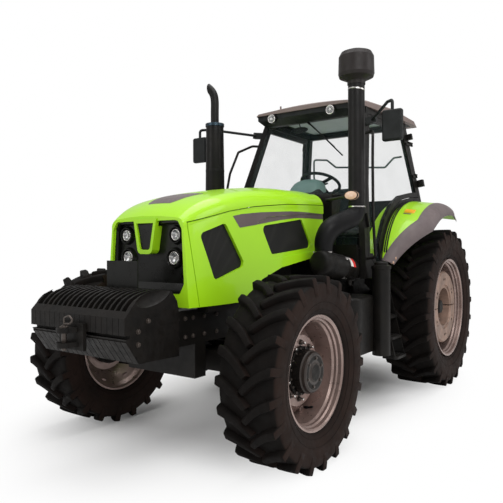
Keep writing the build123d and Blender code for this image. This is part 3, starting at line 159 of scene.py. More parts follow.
# name: colour, roughness, metallic, coat, specular, then the values of each layer
FINISHES = {
    "paint_green": ((0.315, 0.615, 0.008), 0.34, 0, 0.45, 0.25, dict(
        mottle=(0.25, 3, (0.25, 0.52, 0.008)), gloss=(0.05, 14), grain=(0.05, 260, 0.0004))),
    "stripe_grey": ((0.088, 0.066, 0.066), 0.42, 0, 0.15, 0.3, dict(
        mottle=(0.5, 6, (0.12, 0.095, 0.093)), gloss=(0.07,), grain=(0.1, 300))),
    "paint_black": ((0.0045, 0.0043, 0.004), 0.42, 0, 0.03, 0.14, dict(
        mottle=(0.6, 7, (0.010, 0.0085, 0.007)), dust=(0.08, 1.4, (0.05, 0.038, 0.03)), gloss=(0.1, 22),
        grain=(0.15, 180))),
    "cast_black": ((0.0040, 0.0036, 0.0032), 0.5, 0, 0, 0.15, dict(
        mottle=(0.6, 11, (0.010, 0.008, 0.0065)), dust=(0.07, 1.3, (0.05, 0.036, 0.028)), gloss=(0.12, 30),
        grain=(0.5, 240, 0.0012))),
    "nose_black": ((0.0035, 0.0037, 0.003), 0.32, 0, 0.08, 0.2, dict(
        mottle=(0.4, 5, (0.007, 0.0068, 0.0055)), gloss=(0.08, 18), grain=(0.08, 300))),
    "tyre_rubber": ((0.0030, 0.0025, 0.0022), 0.7, 0, 0, 0.08, dict(
        mottle=(0.6, 8, (0.0065, 0.005, 0.0043)), dust=(0.06, 1.9, (0.025, 0.016, 0.012), 6),
        facing=("X", 0.55, 0.98, 0.7, (0.024, 0.0135, 0.0105), 5), gloss=(0.1, 20),
        grain=(0.35, 420, 0.0008))),
    "rim_silver": ((0.34, 0.25, 0.225), 0.34, 0.6, 0.1, 0.4, dict(
        mottle=(0.6, 6, (0.14, 0.098, 0.085)), dust=(0.25, 1.2, (0.12, 0.08, 0.062)), gloss=(0.1, 25),
        grain=(0.12, 200))),
    "ring_metal": ((0.29, 0.19, 0.145), 0.5, 0.25, 0, 0.35, dict(
        mottle=(0.7, 9, (0.12, 0.085, 0.07)), gloss=(0.1, 28), grain=(0.4, 150, 0.001))),
    "roof_beige": ((0.165, 0.122, 0.112), 0.52, 0, 0.05, 0.35, dict(
        mottle=(0.5, 4, (0.115, 0.084, 0.077)), gloss=(0.08, 20), grain=(0.15, 220))),
    "trim_dark": ((0.0055, 0.0065, 0.0065), 0.5, 0, 0, 0.2, dict(
        mottle=(0.5, 9, (0.015, 0.017, 0.017)), gloss=(0.08, 26), grain=(0.4, 900, 0.0005))),
    "hood_teal": ((0.12, 0.215, 0.19), 0.5, 0, 0, 0.5, dict(
        mottle=(0.4, 8, (0.085, 0.16, 0.145)), grain=(0.35, 900, 0.0005))),
    "flare_grey": ((0.098, 0.076, 0.078), 0.55, 0, 0, 0.35, dict(
        mottle=(0.6, 7, (0.145, 0.115, 0.115)), dust=(0.15, 2), gloss=(0.08, 24), grain=(0.3, 700, 0.0005))),
    "rubber_black": ((0.0035, 0.0035, 0.004), 0.48, 0, 0, 0.14, dict(
        mottle=(0.5, 9, (0.011, 0.0105, 0.0105)), gloss=(0.1, 20), grain=(0.25, 350, 0.0008))),
    "liner_grey": ((0.50, 0.57, 0.58), 0.6, 0, 0, 0.5, dict(
        mottle=(0.5, 7, (0.38, 0.45, 0.46)), grain=(0.3, 900, 0.0004))),
    "bright_steel": ((0.55, 0.53, 0.51), 0.25, 1, 0, 0.5, dict(
        mottle=(0.4, 40, (0.35, 0.33, 0.31)), gloss=(0.08, 60), grain=(0.1, 500, 0.0003))),
    "bolt_steel": ((0.075, 0.062, 0.054), 0.42, 0.6, 0, 0.5, dict(
        mottle=(0.6, 60, (0.045, 0.034, 0.029)), gloss=(0.1, 80), grain=(0.2, 500, 0.0003))),
    "lens_amber": ((0.56, 0.33, 0.20), 0.18, 0, 0.4, 0.5, dict(
        mottle=(0.5, 60, (0.72, 0.55, 0.45)), grain=(0.3, 160, 0.001))),
    "marker_orange": ((0.75, 0.36, 0.006), 0.3, 0, 0.3, 0.5, dict(
        mottle=(0.4, 60, (0.68, 0.24, 0.006)), grain=(0.3, 260, 0.0008))),
    "patch_red": ((0.58, 0.018, 0.013), 0.4, 0, 0, 0.5, dict(mottle=(0.3, 40), grain=(0.1, 300))),
    "patch_white": ((0.68, 0.65, 0.62), 0.4, 0, 0, 0.5, dict(mottle=(0.3, 40), grain=(0.1, 300))),
    "seat_cloth": ((0.014, 0.022, 0.022), 0.9, 0, 0, 0.2, dict(
        mottle=(0.6, 40, (0.026, 0.036, 0.036)), grain=(0.8, 1100, 0.0006))),
    "cap_brown": ((0.024, 0.0185, 0.016), 0.42, 0.2, 0, 0.35, dict(
        mottle=(0.7, 12, (0.042, 0.032, 0.027)), gloss=(0.1, 30), grain=(0.3, 260, 0.0006))),
    # painted shade: near-black finish for flat discs that stand for the dark inside of holes
    "hole_painted_shade": ((0.003, 0.0026, 0.0026), 0.7, 0, 0, 0.1, dict(
        mottle=(0.4, 60, (0.008, 0.007, 0.006)), grain=(0.2, 300, 0.0004))),
    "collar_blue": ((0.02, 0.042, 0.060), 0.3, 0.6, 0, 0.5, dict(
        mottle=(0.6, 30, (0.01, 0.013, 0.017)), gloss=(0.1, 40), grain=(0.2, 260, 0.0005))),
    "console_grey": ((0.11, 0.155, 0.145), 0.55, 0, 0, 0.5, dict(
        mottle=(0.5, 9, (0.08, 0.115, 0.11)), gloss=(0.08, 26), grain=(0.3, 900, 0.0004))),
    "mirror_glass": ((0.75, 0.78, 0.8), 0.05, 1, 0, 0.5, dict(
        mottle=(0.2, 4, (0.65, 0.68, 0.7)), grain=(0.02, 12, 0.0003))),
    "lens_red": ((0.42, 0.015, 0.012), 0.2, 0, 0.4, 0.5, dict(
        mottle=(0.4, 60, (0.25, 0.008, 0.008)), grain=(0.3, 260, 0.0008))),
    "chrome": ((0.42, 0.42, 0.42), 0.14, 1, 0, 0.5, dict(
        mottle=(0.6, 70, (0.12, 0.12, 0.12)), gloss=(0.04, 90), grain=(0.3, 120, 0.0008))),
}


def mesh_finish():
    """Fine dark perforated sheet behind the side openings, its holes painted near-black as painted shade."""
    made = Finish("mesh_black", (0.0105, 0.0105, 0.009), 0.6, specular=0.2)
    cells = made.node("TexVoronoi", {"Vector": made.place, "Scale": 150.0, "Randomness": 0.0},
                      feature="DISTANCE_TO_EDGE")
    # painted shade: the middles of the cells, where the holes are, turn near-black; the same mask presses
    # them in as a bump
    hole_shade = made.ramp(cells.outputs["Distance"], 0.05, 0.22)
    made.tint(hole_shade, (0.002, 0.002, 0.002)).mottle(0.3, 5.0, (0.013, 0.013, 0.011))
    return made.grain(0.3, 0.0, -0.0005, hole_shade)


def glass_finish(name, colour, opacity):
    """Thin tinted glass: partly see-through, with a clean reflection."""
    made = Finish(name, colour, 0.03)
    smear = made.ramp(made.noise(5.0, 4.0), 0.35, 0.75, opacity * 0.85, opacity * 1.15)
    made.feed({"IOR": 1.5, "Alpha": smear}).mottle(0.3, 3.0, tuple(c * 0.8 for c in colour))
    return made.grain(0.02, 8.0, 0.0005)


def stack_finish():
    """Black pipe with a brown bowl from the height of its foot upwards."""
    bowl_foot = 2.878
    made = Finish("stack_black", (0.0045, 0.0044, 0.0042), 0.42, specular=0.16)
    made.mottle(0.6, 8.0, (0.010, 0.009, 0.0085))
    made.above(bowl_foot, (0.022, 0.0185, 0.018)).mottle(0.35, 14.0, (0.009, 0.0075, 0.007))
    return made.uneven_gloss(0.1, 22.0).grain(0.25, 300.0, 0.0006)


FINISH = {name: Finish(name, *look).layers(**layers) for name, (*look, layers) in FINISHES.items()}
FINISH["seat_cloth"].feed({"Sheen Weight": 0.3})
FINISH["mesh_black"] = mesh_finish()
FINISH["cab_glass"] = glass_finish("cab_glass", (0.05, 0.085, 0.085), 0.065)
FINISH["lamp_clear"] = glass_finish("lamp_clear", (0.5, 0.51, 0.52), 0.16)
FINISH["stack_black"] = stack_finish()


def paint(piece, name):
    """Gives a piece one finish."""
    piece.data.materials.clear()
    piece.data.materials.append(FINISH[name].material)


# ---------------------------------------------------------------- making pieces
def square_to(axis):
    """The unit axis and two directions square to it."""
    axis = Vector(axis).normalized()
    side = axis.orthogonal().normalized()
    return axis, side, axis.cross(side)


def spoke(side, up, k, steps):
    """Ray number k of steps rays round the circle through side and up."""
    return side * math.cos(TAU * k / steps) + up * math.sin(TAU * k / steps)


def polar(radius, angle):
    """The two coordinates of a point at a radius and an angle in degrees."""
    return radius * math.cos(math.radians(angle)), radius * math.sin(math.radians(angle))


def on_side(side, point):
    """A point of the tractor's left side, or its mirror image on the right."""
    return Vector((side * point[0], point[1], point[2]))


def block(size, centre, bevel, segments=2, taper=1.0):
    """Box as a bmesh with bevelled edges; taper is how wide along Y its bottom is against its top."""
    shape = bmesh.new()
    bmesh.ops.create_cube(shape, size=1.0)
    for vert in shape.verts:
        x, y, z = vert.co
        wide = size[1] * (taper if z < 0 else 1.0)
        vert.co = Vector((x * size[0], y * wide, z * size[2])) + Vector(centre)
    bmesh.ops.bevel(shape, geom=list(shape.edges), offset=bevel, segments=segments, profile=0.5,
                    affect="EDGES")
    return shape


def place_mesh(name, mesh):
    """An object in the scene with this mesh."""
    made = bpy.data.objects.new(name, mesh)
    bpy.context.scene.collection.objects.link(made)
    return made


class Form:
    """Vertices and faces gathered from several shapes."""

    def __init__(self):
        self.verts = []
        self.faces = []

    def grid(self, rows, close_rows=False, close_columns=False):
        """Quads between rows of points of equal length."""
        start = len(self.verts)
        height, width = len(rows), len(rows[0])
        for row in rows:
            self.verts.extend(Vector(p) for p in row)
        for i in range(height if close_rows else height - 1):
            for j in range(width if close_columns else width - 1):
                a = start + i * width + j
                b = start + i * width + (j + 1) % width
                c = start + ((i + 1) % height) * width + (j + 1) % width
                d = start + ((i + 1) % height) * width + j
                self.faces.append((a, b, c, d))
        return self

    def face(self, points):
        start = len(self.verts)
        self.verts.extend(Vector(p) for p in points)
        self.faces.append(tuple(range(start, start + len(points))))
        return self

    def lathe(self, profile, centre, axis, steps, side=1):
        """Outline of (along, radius) points turned through centre about X, on one side, or about Z."""
        rows = []
        for index in range(steps):
            cos, sin = math.cos(TAU * index / steps), math.sin(TAU * index / steps)
            if axis == "X":
                rows.append([(side * a, centre[1] + r * cos, centre[2] + r * sin) for a, r in profile])
            else:
                rows.append([(centre[0] + r * cos, centre[1] + r * sin, a) for a, r in profile])
        return self.grid(rows, close_rows=True)

    def tube(self, points, radius, steps=16, caps=True):
        """Round tube along points, with one radius or one for each point."""
        points = [Vector(p) for p in points]
        radii = radius if isinstance(radius, list) else [radius] * len(points)
        rows = []
        up = Vector((0, 0, 1))
        for index, (point, size) in enumerate(zip(points, radii)):
            ahead = points[min(index + 1, len(points) - 1)] - points[max(index - 1, 0)]
            ahead.normalize()
            if abs(ahead.dot(up)) > 0.95:
                up = Vector((0, 1, 0)) if abs(ahead.y) < 0.9 else Vector((1, 0, 0))
            side = ahead.cross(up).normalized()
            up = side.cross(ahead).normalized()
            rows.append([point + spoke(side, up, k, steps) * size for k in range(steps)])
        self.grid(rows, close_columns=True)
        return self.face(rows[0]).face(rows[-1]) if caps else self

    def box(self, corner, opposite, bevel):
        """Box between two opposite corners, with bevelled edges."""
        low = Vector([min(pair) for pair in zip(corner, opposite)])
        high = Vector([max(pair) for pair in zip(corner, opposite)])
        return self.take(block(high - low, (high + low) / 2, bevel))

    def take(self, shape, move=None):
        """Adds a bmesh, moved by a matrix, and frees it."""
        start = len(self.verts)
        shape.verts.index_update()
        for vert in shape.verts:
            self.verts.append(move @ vert.co if move else vert.co.copy())
        for face in shape.faces:
            self.faces.append(tuple(start + v.index for v in face.verts))
        shape.free()
        return self

    def prism(self, outline, direction):
        """Outline of 3-D points pushed along direction."""
        push = Vector(direction)
        near = [Vector(p) for p in outline]
        far = [p + push for p in near]
        self.face(near)
        self.face(list(reversed(far)))
        return self.grid([near, far], close_columns=True)

    def nut(self, centre, axis, radius, depth):
        """Hexagon head standing on a face at centre, along axis."""
        axis, side, up = square_to(axis)
        rings = []
        for out, size in ((0.0, radius), (depth * 0.85, radius), (depth, radius * 0.86)):
            rings.append([Vector(centre) + axis * out + spoke(side, up, k, 6) * size for k in range(6)])
        return self.grid(rings, close_columns=True).face(rings[-1])

    def lathe_at(self, spot, axis, profile, steps=16):
        """Outline of (along, radius) points turned about an axis through spot."""
        axis, side, up = square_to(axis)
        rows = []
        for k in range(steps):
            ray = spoke(side, up, k, steps)
            rows.append([Vector(spot) + axis * a + ray * r for a, r in profile])
        return self.grid(rows, close_rows=True)

    def bolt(self, spot, axis, washer, thick, bore, head, depth):
        """Hexagon head on a washer, given by their radii and heights."""
        self.lathe_at(spot, axis, [(0, washer), (thick, washer), (thick, bore)])
        return self.nut(spot, axis, head, depth)

    def make(self, name, slot, finish=None, smooth=35.0, body="tractor"):
        """The shapes as one piece that rides on a body, in a finish other than its slot's if one is given."""
        mesh = bpy.data.meshes.new(name)
        mesh.from_pydata([tuple(v) for v in self.verts], [], self.faces)
        clean = bmesh.new()
        clean.from_mesh(mesh)
        bmesh.ops.remove_doubles(clean, verts=clean.verts, dist=1e-5)
        bmesh.ops.recalc_face_normals(clean, faces=clean.faces)
        clean.to_mesh(mesh)
        clean.free()
        made = place_mesh(name, mesh)
        mesh.shade_smooth()
        mesh.set_sharp_from_angle(angle=math.radians(smooth))
        paint(made, finish or slot)
        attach(made, body)
        return made


def smooth_path(points, steps=6):
    """Catmull-Rom curve through points."""
    pts = [Vector(p) for p in points]
    pts = [pts[0] * 2 - pts[1]] + pts + [pts[-1] * 2 - pts[-2]]
    path = []
    for i in range(1, len(pts) - 2):
        p0, p1, p2, p3 = pts[i - 1:i + 3]
        for k in range(steps):
            t = k / steps
            path.append(0.5 * ((2 * p1) + (p2 - p0) * t + (2 * p0 - 5 * p1 + 4 * p2 - p3) * t * t
                               + (3 * p1 - p0 - 3 * p2 + p3) * t ** 3))
    path.append(pts[-2])
    return path


def rounded_route(points, radius, steps=6):
    """Straight runs joined by arcs of about the given radius."""
    pts = [Vector(p) for p in points]
    path = [pts[0]]
    for before, corner, after in zip(pts, pts[1:], pts[2:]):
        into, out = (corner - before), (after - corner)
        turn = into.angle(out)
        cut = min(radius * math.tan(turn / 2), into.length * 0.49, out.length * 0.49)
        start, end = corner - into.normalized() * cut, corner + out.normalized() * cut
        for k in range(steps + 1):
            t = k / steps
            path.append(start * (1 - t) ** 2 + corner * 2 * t * (1 - t) + end * t * t)
    path.append(pts[-1])
    return path


# ---------------------------------------------------------------- camera and light
def build_camera():
    data = bpy.data.cameras.new("camera")
    data.sensor_width = 36.0
    data.lens = 40.62
    data.shift_x, data.shift_y = 0.0229, -0.0070
    data.clip_end = 100.0
    camera = place_mesh("camera", data)
    spot = (2.8893, -4.5724, 1.4818)
    yaw, pitch, roll = (math.radians(v) for v in (36.15, -0.31, 0.2))
    forward = Vector((-math.sin(yaw) * math.cos(pitch), math.cos(yaw) * math.cos(pitch), math.sin(pitch)))
    right = forward.cross(Vector((0, 0, 1))).normalized()
    up = right.cross(forward)
    turn = Matrix.Rotation(roll, 3, forward)
    right, up = turn @ right, turn @ up
    camera.matrix_world = Matrix([(right[i], up[i], -forward[i], spot[i]) for i in range(3)] + [(0, 0, 0, 1)])
    bpy.context.scene.camera = camera


def build_light():
    """Soft studio light and white backdrop."""
    scene = bpy.context.scene
    scene.view_settings.view_transform = "Standard"
    scene.world = bpy.data.worlds.new("studio")
    scene.world.use_nodes = True
    tree = scene.world.node_tree
    tree.nodes.clear()
    rays = node(tree, "LightPath", {}).outputs
    clear = node(tree, "Math", {0: rays["Is Camera Ray"], 1: rays["Is Transmission Ray"]},
                 operation="MAXIMUM")
    soft = node(tree, "Background", {"Color": (1.0, 0.99, 0.98, 1), "Strength": 0.56})
    seen = node(tree, "Background", {"Color": (1, 1, 1, 1)})
    mix = node(tree, "MixShader", {0: clear.outputs[0], 1: soft.outputs[0], 2: seen.outputs[0]})
    node(tree, "OutputWorld", {0: mix.outputs[0]})

    # name, place, target, size, watts
    lamps = [("key", (5.5, -5.0, 6.5), (0, -0.6, 1.2), 4.5, 330),
             ("left", (7.0, 2.5, 4.5), (0, 0.3, 1.2), 4.0, 120),
             ("front", (-3.5, -8.0, 4.0), (0, -1.0, 1.2), 4.0, 150),
             ("top", (0.5, 0.0, 8.0), (0, 0, 0), 6.0, 360)]
    for name, place, target, size, watts in lamps:
        data = bpy.data.lights.new(name, "AREA")
        data.energy, data.size = watts, size
        light = place_mesh(name, data)
        light.location = place
        light.rotation_euler = (Vector(target) - Vector(place)).to_track_quat("-Z", "Y").to_euler()


def build_floor():
    """White floor that keeps the shadow near the tractor and fades to the backdrop in an oval round it."""
    reach, steps = 14.0, 64
    mesh = bpy.data.meshes.new("floor")
    ring = [(reach * math.cos(TAU * k / steps), reach * math.sin(TAU * k / steps), 0) for k in range(steps)]
    mesh.from_pydata(ring, [], [tuple(range(steps))])
    floor = place_mesh("floor", mesh)
    white = Finish("floor_white", (0.86, 0.86, 0.86), 0.95, specular=0.1)
    shader = white.tree.nodes["Principled BSDF"]
    lift = white.node("Emission", {"Strength": 1.0})
    oval = white.node("VectorMath", {0: white.place, 1: (1.0, 0.55, 0.0), 2: (0.3, -0.165, 0.0)},
                      operation="MULTIPLY_ADD")
    away = white.node("VectorMath", {0: oval.outputs["Vector"]}, operation="LENGTH")
    fade = white.node("MapRange", {"Value": away.outputs["Value"], "From Min": 0.8, "From Max": 1.9,
                                   "To Min": 0.0, "To Max": 1.0}, interpolation_type="SMOOTHSTEP")
    share = white.maths(fade.outputs["Result"], white.node("LightPath", {}).outputs["Is Camera Ray"])
    mix = white.node("MixShader", {0: share, 1: shader.outputs[0], 2: lift.outputs[0]})
    feed(white.tree, white.tree.nodes["Material Output"], {0: mix.outputs[0]})
    floor.data.materials.append(white.material)


build_camera()
build_light()
build_floor()


# ---------------------------------------------------------------- CAD pieces
def dress_cad():
    """Smooth shading and a finish for each CAD piece."""
    # nodes, and one slot, whose finish has another name than their slot
    own = {"cab_lamps": "paint_black", "intake_stack": "stack_black", "ring_weight_left": "ring_metal",
           "ring_weight_right": "ring_metal", "plate_blank": "nose_black"}
    for cad in NODES.values():
        cad.data.shade_smooth()
        cad.data.set_sharp_from_angle(angle=math.radians(32))
    for entry in frame["record"]["subparts"]:
        name, slot = entry["node"], entry["material_slot"]
        paint(NODES[name], own.get(name, own.get(slot, slot)))


dress_cad()


# ---------------------------------------------------------------- lying on the CAD skin
@cache
def skin(name):
    """Ray target of a CAD node's surface."""
    mesh = NODES[name].data
    return BVHTree.FromPolygons([v.co for v in mesh.vertices], [p.vertices for p in mesh.polygons])


def landed(name, point, out, lift):
    """Where a point drops onto a node's surface against the direction out, lifted off it."""
    out = Vector(out)
    start = Vector(point) + out * 0.25
    hit = skin(name).ray_cast(start, -out, 0.6)[0]
    return (hit if hit is not None else Vector(point)) + out * lift


def stripe(name, cad, rows, out, body, lift):
    """Thin grey sheet over rows of points, laid on a CAD surface."""
    sheet = Form().grid([[landed(cad, p, out, lift) for p in row] for row in rows])
    sheet.make(name, "flare_grey", "stripe_grey", 60.0, body)


def between(first, second, steps):
    """Points from first to second."""
    first, second = Vector(first), Vector(second)
    return [first.lerp(second, k / steps) for k in range(steps + 1)]


def along(points, steps):
    """Even points along a run of points."""
    points = [Vector(p) for p in points]
    lengths = [0.0]
    for a, b in zip(points, points[1:]):
        lengths.append(lengths[-1] + (b - a).length)
    out = []
    for k in range(steps + 1):
        want = lengths[-1] * k / steps
        i = max(j for j in range(len(points) - 1) if lengths[j] <= want + 1e-9)
        share = (want - lengths[i]) / (lengths[i + 1] - lengths[i])
        out.append(points[i].lerp(points[i + 1], min(share, 1.0)))
    return out


# ---------------------------------------------------------------- tyres and wheels
# centre, distance of the tread's middle from the tractor's, half width, radii of the rim's edge, of the
# tread between the lugs and of their tips, lugs in a row, how far a lug runs along the tread, radius of
# the circle of nuts
WHEELS = {
    "front": dict(centre=FRONT_AXLE, track=0.945, half=0.210, rim=0.381, base=0.599, tip=0.640, lugs=21,
                  sweep=0.150, nuts=0.187),
    "rear": dict(centre=REAR_AXLE, track=0.925, half=0.245, rim=0.508, base=0.771, tip=0.818, lugs=24,
                 sweep=0.165, nuts=0.172),
}


def tyre(kind, side, word):
    """Smooth carcass with two staggered rows of curved lugs, whose inner ends lead as it rolls ahead."""
    w = WHEELS[kind]
    half, rim, base, tip, sweep = w["half"], w["rim"], w["base"], w["tip"], w["sweep"]
    run, overlap, bow = 0.925 * half, 0.012, 0.14
    # share of the half width, share of the wall height, step outwards
    wall = [(0.775, 0.012, 0), (0.80, 0.03, 0), (0.835, 0.07, 0), (0.865, 0.12, 0), (0.885, 0.155, 0),
            (0.888, 0.16, 0.002), (0.897, 0.18, 0.002), (0.90, 0.185, 0), (0.935, 0.28, 0), (0.962, 0.38, 0),
            (0.964, 0.385, 0.0018), (0.972, 0.41, 0.0018), (0.974, 0.415, 0), (0.99, 0.50, 0),
            (0.995, 0.60, 0), (0.990, 0.72, 0), (0.978, 0.84, 0), (0.960, 0.92, 0), (0.930, 0.97, 0),
            (0.88, 0.99, 0), (0.6, 1.0, 0), (0.3, 1.0, 0), (0.02, 1.0, 0), (0.0, 1.0, 0)]
    outer = [(share * half + step, rim + rise * (base - rim)) for share, rise, step in wall]
    profile = [(w["track"] + x, r) for x, r in outer] + [(w["track"] - x, r) for x, r in reversed(outer[:-1])]
    form = Form().lathe(profile, w["centre"], "X", 144, side)

    def place(x, s, r, turn):
        """Point x out from the middle of the tread and s along it at radius r."""
        angle = turn - s / tip
        return Vector((side * (w["track"] + x), w["centre"].y - r * math.sin(angle),
                       w["centre"].z + r * math.cos(angle)))

    # share along the lug, share of the half width past the shoulder, foot and top below base or tip
    steps = [(-0.035, None, 0.02, 0.036), (0.0, None, 0.02, 0.006), (0.035, None, 0.02, 0.0004)]
    steps += [(u / 10, None, 0.02, 0.0) for u in range(1, 10)]
    steps += [(0.97, None, 0.03, 0.0005), (1.0, 0.935, 0.05, 0.003), (1.02, 0.952, 0.06, 0.010),
              (1.03, 0.966, 0.07, 0.026), (1.04, 0.982, 0.075, 0.05), (1.05, 0.996, 0.085, 0.08)]

    def ring(step, row, turn):
        """Outline of a lug at one of its steps."""
        u, share, foot, top = step
        flat = min(u, 1.0)
        x = share * half if share else -overlap + u * (run + overlap)
        s = sweep * (flat - 0.5 + bow * math.sin(math.pi * max(flat, 0.0)))
        slope = sweep * (1 + bow * math.pi * math.cos(math.pi * flat))
        across = Vector((-slope, run)).normalized()
        crest = 0.0165 + 0.0085 * flat
        # half width and share of the height, from the foot up
        flank = [(crest + 0.011, 0.0), (crest + 0.009, 0.42), (crest + 0.003, 0.90), (crest, 0.97),
                 (crest - 0.005, 1.0)]
        low, high = base - foot, tip - top
        lean = 0.0 if share else across.x
        return [place(row * (x + lean * v), s + across.y * v, low + h * (high - low), turn)
                for v, h in [(-v, h) for v, h in flank] + flank[::-1]]

    phase = math.pi + math.asin((sweep / 2 + 0.02) / tip)
    for row, shift in ((1, 0.0), (-1, 0.5)):
        for index in range(w["lugs"]):
            turn = phase + TAU * (index + shift) / w["lugs"]
            rings = [ring(step, row, turn) for step in steps]
            form.grid(rings, close_columns=True).face(rings[0]).face(rings[-1])
    name = f"{kind}_tyre_{word}"
    made = form.make(f"{name}_tread", "tyre_rubber", None, 38.0, f"{kind}_wheel_{word}")
    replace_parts(made, name)


def around(centre, radius, x, angle, side):
    """Point on a wheel's face: angle in degrees from straight back."""
    y, z = polar(radius, angle)
    return Vector((side * x, centre.y + y, centre.z + z))


def wheel_fittings(side, word):
    """Nuts, studs, rim brackets and valves of the two wheels on one side."""
    out = (side, 0, 0)
    for kind, w in WHEELS.items():
        centre, rim, body = w["centre"], w["rim"], f"{kind}_wheel_{word}"
        nuts, studs, clips, valve = Form(), Form(), Form(), Form()
        for index in range(10):
            spot = around(centre, w["nuts"], 0.968, 14 + 36 * index, side)
            nuts.bolt(spot, out, 0.021, 0.003, 0.012, 0.0165, 0.017)
            studs.lathe_at(spot, out, [(0, 0.0085), (0.036, 0.0085), (0.038, 0.007), (0.038, 0.0)])
        nuts.make(f"{kind}_wheel_nuts_{word}", "cast_black", "bolt_steel", body=body)
        studs.make(f"{kind}_wheel_studs_{word}", "rim_silver", "bright_steel", body=body)
        for index in range(8):
            turn = Matrix.Rotation(math.radians(22.5 + 45 * index), 4, "X")
            middle = Matrix.Translation((side * 0.885, centre.y, centre.z))
            clip = block((0.055, 0.064, 0.03), (0, 0, 0), 0.004, taper=0.022 / 0.032)
            clips.take(clip, middle @ turn @ Matrix.Translation((0, 0, rim - 0.062)))
        clips.make(f"{kind}_rim_brackets_{word}", "rim_silver", body=body)
        valve.lathe_at(around(centre, rim - 0.05, 0.93, -62, side), (side * 0.9, -0.15, 0.25),
                       [(-0.02, 0.011), (0.012, 0.011), (0.014, 0.006), (0.04, 0.006), (0.041, 0.008),
                        (0.056, 0.008), (0.058, 0.005), (0.058, 0)])
        valve.make(f"{kind}_valve_{word}", "rubber_black", body=body)


def front_hub(side, word):
    """Stepped cap, bolts and flange in the middle of a front wheel."""
    body = f"front_wheel_{word}"
    cap = [(1.0495, 0.1438), (1.0502, 0.1438), (1.0580, 0.1348), (1.0780, 0.1318), (1.0858, 0.1205),
           (1.0866, 0.118), (1.0856, 0.112), (1.0846, 0.108), (1.0832, 0.078), (1.0830, 0.066),
           (1.0845, 0.0625), (1.0912, 0.0560), (1.0917, 0.052), (1.0917, 0.030), (1.0905, 0.027),
           (1.0905, 0.0)]
    Form().lathe(cap, FRONT_AXLE, "X", 72, side).make(f"hub_cap_{word}", "cast_black", "cap_brown", body=body)
    bolts = Form()
    for index in range(6):
        spot = around(FRONT_AXLE, 0.094, 1.0838, 20 + 60 * index, side)
        bolts.bolt(spot, (side, 0, 0), 0.0125, 0.002, 0.009, 0.0095, 0.0075)
    for index in range(16):
        bolts.nut(around(FRONT_AXLE, 0.153, 0.9905, 11 + 22.5 * index, side), (side, 0, 0), 0.0085, 0.008)
    bolts.make(f"hub_bolts_{word}", "cast_black", "bolt_steel", body=body)
    flange = [(0.9685, 0.1436), (0.9685, 0.163), (0.988, 0.163), (0.9905, 0.160), (0.9905, 0.1436)]
    Form().lathe(flange, FRONT_AXLE, "X", 72, side).make(f"hub_flange_{word}", "cast_black", body=body)


def rear_weight(side, word):
    """Paired holes, each a flat near-black disc of painted shade, with their rims, and the eye, of a rear
    wheel's weight.
    """
    body, out = f"rear_wheel_{word}", (side, 0, 0)
    hole_shade, rims = Form(), Form()
    for index in range(6):
        for turn, size in ((-4.5, 0.0135), (4.5, 0.0105)):
            spot = around(REAR_AXLE, 0.292, 1.0903, 32 + 60 * index + turn, side)
            # painted shade: each hole is a flat disc on the weight's face in a near-black finish, not an
            # opening
            hole_shade.lathe_at(spot, out, [(0, size), (0, 0.0)], 20)
            rims.lathe_at(spot, out, [(0, size + 0.004), (0.0012, size + 0.003), (0.0012, size), (0, size)],
                          20)
    hole_shade.make(f"weight_holes_{word}", "cast_black", "hole_painted_shade", body=body)
    rims.make(f"weight_hole_rims_{word}", "rim_silver", "ring_metal", body=body)
    eye = [(0, 0.035), (0.03, 0.034), (0.034, 0.030), (0.034, 0.02), (0.012, 0.018), (0.012, 0)]
    Form().lathe_at(around(REAR_AXLE, 0.40, 0.985, -52, side), out, eye, 28).make(
        f"weight_eye_{word}", "cast_black", "cap_brown", body=body)


# ---------------------------------------------------------------- bonnet and lamps
def bonnet_trim():
    """Top panel, side stripes and the blank badge plate."""
    edge = [(0.108, -1.606), (0.132, -1.575), (0.152, -1.50), (0.172, -1.42), (0.197, -1.338)]
    rows = []
    for index, p in enumerate(along([(x, y, 0) for x, y in edge], 16)):
        bow = 0.02 * index / 16
        rows.append([(p.x * t, p.y + bow * (1 - t * t), 1.85) for t in (k / 12 - 1 for k in range(25))])
    stripe("bonnet_top_panel", "bonnet_shell", rows, (0, 0, 1), "bonnet", 0.0009)
    upper = [(-1.281, 1.692), (-1.170, 1.711), (-0.948, 1.733), (-0.554, 1.757), (-0.366, 1.763),
             (-0.162, 1.763), (0.057, 1.759)]
    lower = [(-1.205, 1.608), (-1.104, 1.621), (-0.972, 1.638), (-0.807, 1.662), (-0.620, 1.687),
             (-0.418, 1.707), (-0.195, 1.713), (0.057, 1.712)]
    for side, word in SIDES:
        tops, feet = (along([(side * 0.45, y, z) for y, z in edge], 260) for edge in (upper, lower))
        rows = [between(top, foot, 44) for top, foot in zip(tops, feet)]
        stripe(f"side_stripe_{word}", "side_panels", rows, (side, 0, 0), "tractor", 0.0012)
    middle = 1.555
    plate = [(-0.0835, 1.6352), (0.0835, 1.6352), (0.0497, 1.4622), (0.0357, 1.4503), (-0.0357, 1.4503),
             (-0.0497, 1.4622)]
    steps = [(-1.690, 1.0), (-1.734, 1.0), (-1.7375, 0.965), (-1.7385, 0.93), (-1.7365, 0.90), (-1.7365, 0.0)]
    rows = [[(x * size, y, middle + (z - middle) * size) for x, z in plate] for y, size in steps]
    Form().grid(rows, close_columns=True).make("badge_plate", "nose_black", None, 30.0, "bonnet")


